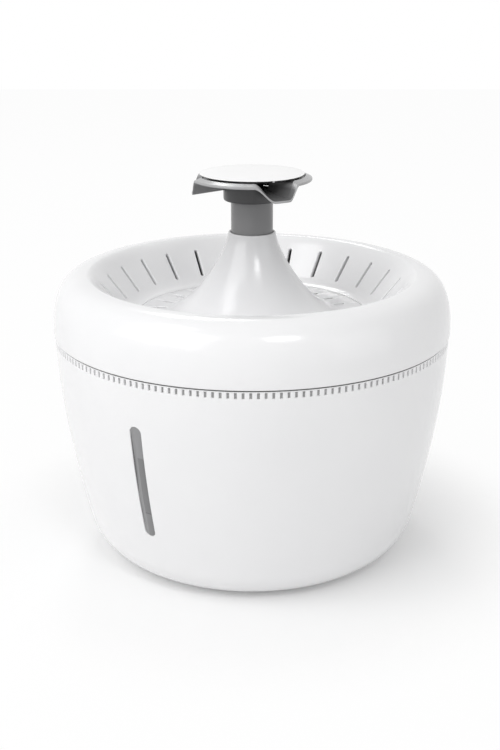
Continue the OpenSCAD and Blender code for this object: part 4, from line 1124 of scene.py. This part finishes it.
def make_lead():
    """The pump's lead: straight out of the motor case, up along the rear wall and into the inlet."""
    start, out_z = LEAD_START
    end = BOSS_Y - SOCKET_DEPTH
    rise = end - 14.7
    run = rise - start
    route = [
        (start, out_z), (start + 4, out_z), (start + 0.43 * run, out_z + 1.4),
        (start + 0.68 * run, out_z + 4.9), (start + 0.86 * run, out_z + 10.4),
        (start + 0.96 * run, out_z + 17.4), (rise, out_z + 25.4), (rise, INLET_Z - 30),
        (rise - 0.5, INLET_Z - 22), (rise - 0.5, INLET_Z - 15), (rise + 0.5, INLET_Z - 9.5),
        (rise + 3.5, INLET_Z - 4.5), (rise + 8.5, INLET_Z - 1), (end - 1, INLET_Z), (end, INLET_Z),
    ]
    path = smooth_route([Vector((0, y, z)) for y, z in route], 6)
    vertices, faces, sides = [], [], 16
    for i, here in enumerate(path):
        ahead = (path[min(i + 1, len(path) - 1)] - path[max(i - 1, 0)]).normalized()
        if i in (0, len(path) - 1):
            ahead = Vector((0, 1, 0))
        across = Vector((0, -ahead.z, ahead.y))
        for k in range(sides):
            turn = 2 * math.pi * k / sides
            aside = Vector((math.cos(turn), 0, 0)) * LEAD_D / 2
            vertices.append(tuple(here + aside + across * math.sin(turn) * LEAD_D / 2))
    for i in range(len(path) - 1):
        for k in range(sides):
            a, b = i * sides + k, i * sides + (k + 1) % sides
            faces.append([a, a + sides, b + sides, b])
    last = (len(path) - 1) * sides
    faces += [list(range(sides)), list(range(last + sides - 1, last - 1, -1))]
    lead = shape_of("pump_lead_cord", vertices, faces)
    dressed(lead, LEAD_JACKET, "tank_body", "rubber", "pump_lead")
    real = [p * MM for p in path]
    length = sum((b - a).length for a, b in zip(real, real[1:]))
    tuple(real[0])
    [tuple(p) for p in real]


def pad_ring(name, node, material, slot, body):
    """Soft ring pad in the space of a CAD ring: crowned faces, round edges, slightly uneven."""
    low, high = (Vector(c) * PER_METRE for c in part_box(node))
    r_in, r_out, z0, z1 = PAD_HOLE_R, high.x, low.z, high.z
    outline, steps = [], 26
    for k in range(steps):
        turn = 2 * math.pi * k / steps
        c, s = math.cos(turn), math.sin(turn)
        r = (r_out + r_in) / 2 + (r_out - r_in) / 2 * math.copysign(abs(c) ** 0.28, c)
        z = (z0 + z1) / 2 + (z1 - z0) / 2 * math.copysign(abs(s) ** 0.45, s)
        outline.append((r, z))
    vertices, faces = turned(outline, columns=180)
    soft = []
    for x, y, z in vertices:
        lump = noise.noise(Vector((x, y, z)) * 0.12) * 0.35 + noise.noise(Vector((x, y, z)) * 0.5) * 0.12
        side = 1 if z > (z0 + z1) / 2 else -1
        soft.append((x, y, min(z1, max(z0, z - side * abs(lump)))))
    piece = shape_of(name, soft, faces, crease=80)
    dressed(piece, material, body, slot, node)


def make_soft_pieces():
    """The two cotton pads of the cartridge and the sponge before the pump."""
    pad_ring("lower_cotton_pad", "lower_cotton", COTTON, "cotton", "basket_body")
    pad_ring("upper_cotton_pad", "upper_cotton", COTTON, "cotton", "basket_body")
    low, high = (Vector(c) * PER_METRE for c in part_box("prefilter_sponge"))
    size, middle = high - low, (low + high) / 2
    levels, steps = [], 12
    for k in range(steps + 1):
        t = -1 + 2 * k / steps
        levels.append((middle.y + size.y / 2 * t, -1.2 * abs(t) ** 6))
    block = stacked(soft_box(size.x, size.z, 3.0, arc=6), levels, lambda u, v, w: (-u, w, middle.z + v))
    sponge = shape_of("sponge_block", *block, crease=70)
    dressed(sponge, SPONGE, "strainer_body", "sponge", "prefilter_sponge")


CARRIED = (
    (SOFT_RUBBER, "window_gasket foot_pads inlet_seal suction_cups volute_seal shaft_bushes stem_seal"),
    (PUMP_BLACK, "motor_case volute_cover strainer"),
    (FRAME_WHITE, "impeller filter_frame filter_lid"),
    (NICKEL, "inlet_pin inlet_nut"),
    (INLET_BLACK, "inlet_body"),
    (CORE_STEEL, "stator_core"),
    (COPPER, "stator_coil"),
    (POTTING, "potting_resin"),
    (CERAMIC, "impeller_shaft"),
    (RISER_CLEAR, "riser_tube"),
    (MAGNET_GREY, "rotor_magnet"),
    (GATE_GREY, "flow_gate"),
    (BASKET_GREY, "filter_basket"),
    (CARBON, "carbon_bed"),
    (NECK_GREY_AND_CAP_SHADE, "cap_plug"),
)

make_lead()
make_tank()
make_teeth()
make_boss()
make_window()
make_tray()
make_cone()
make_stem()
make_neck()
make_leaf()
make_cap()
make_soft_pieces()
for material, names in CARRIED:
    for node in names.split():
        for place in nodes[node].material_slots:
            place.material = material
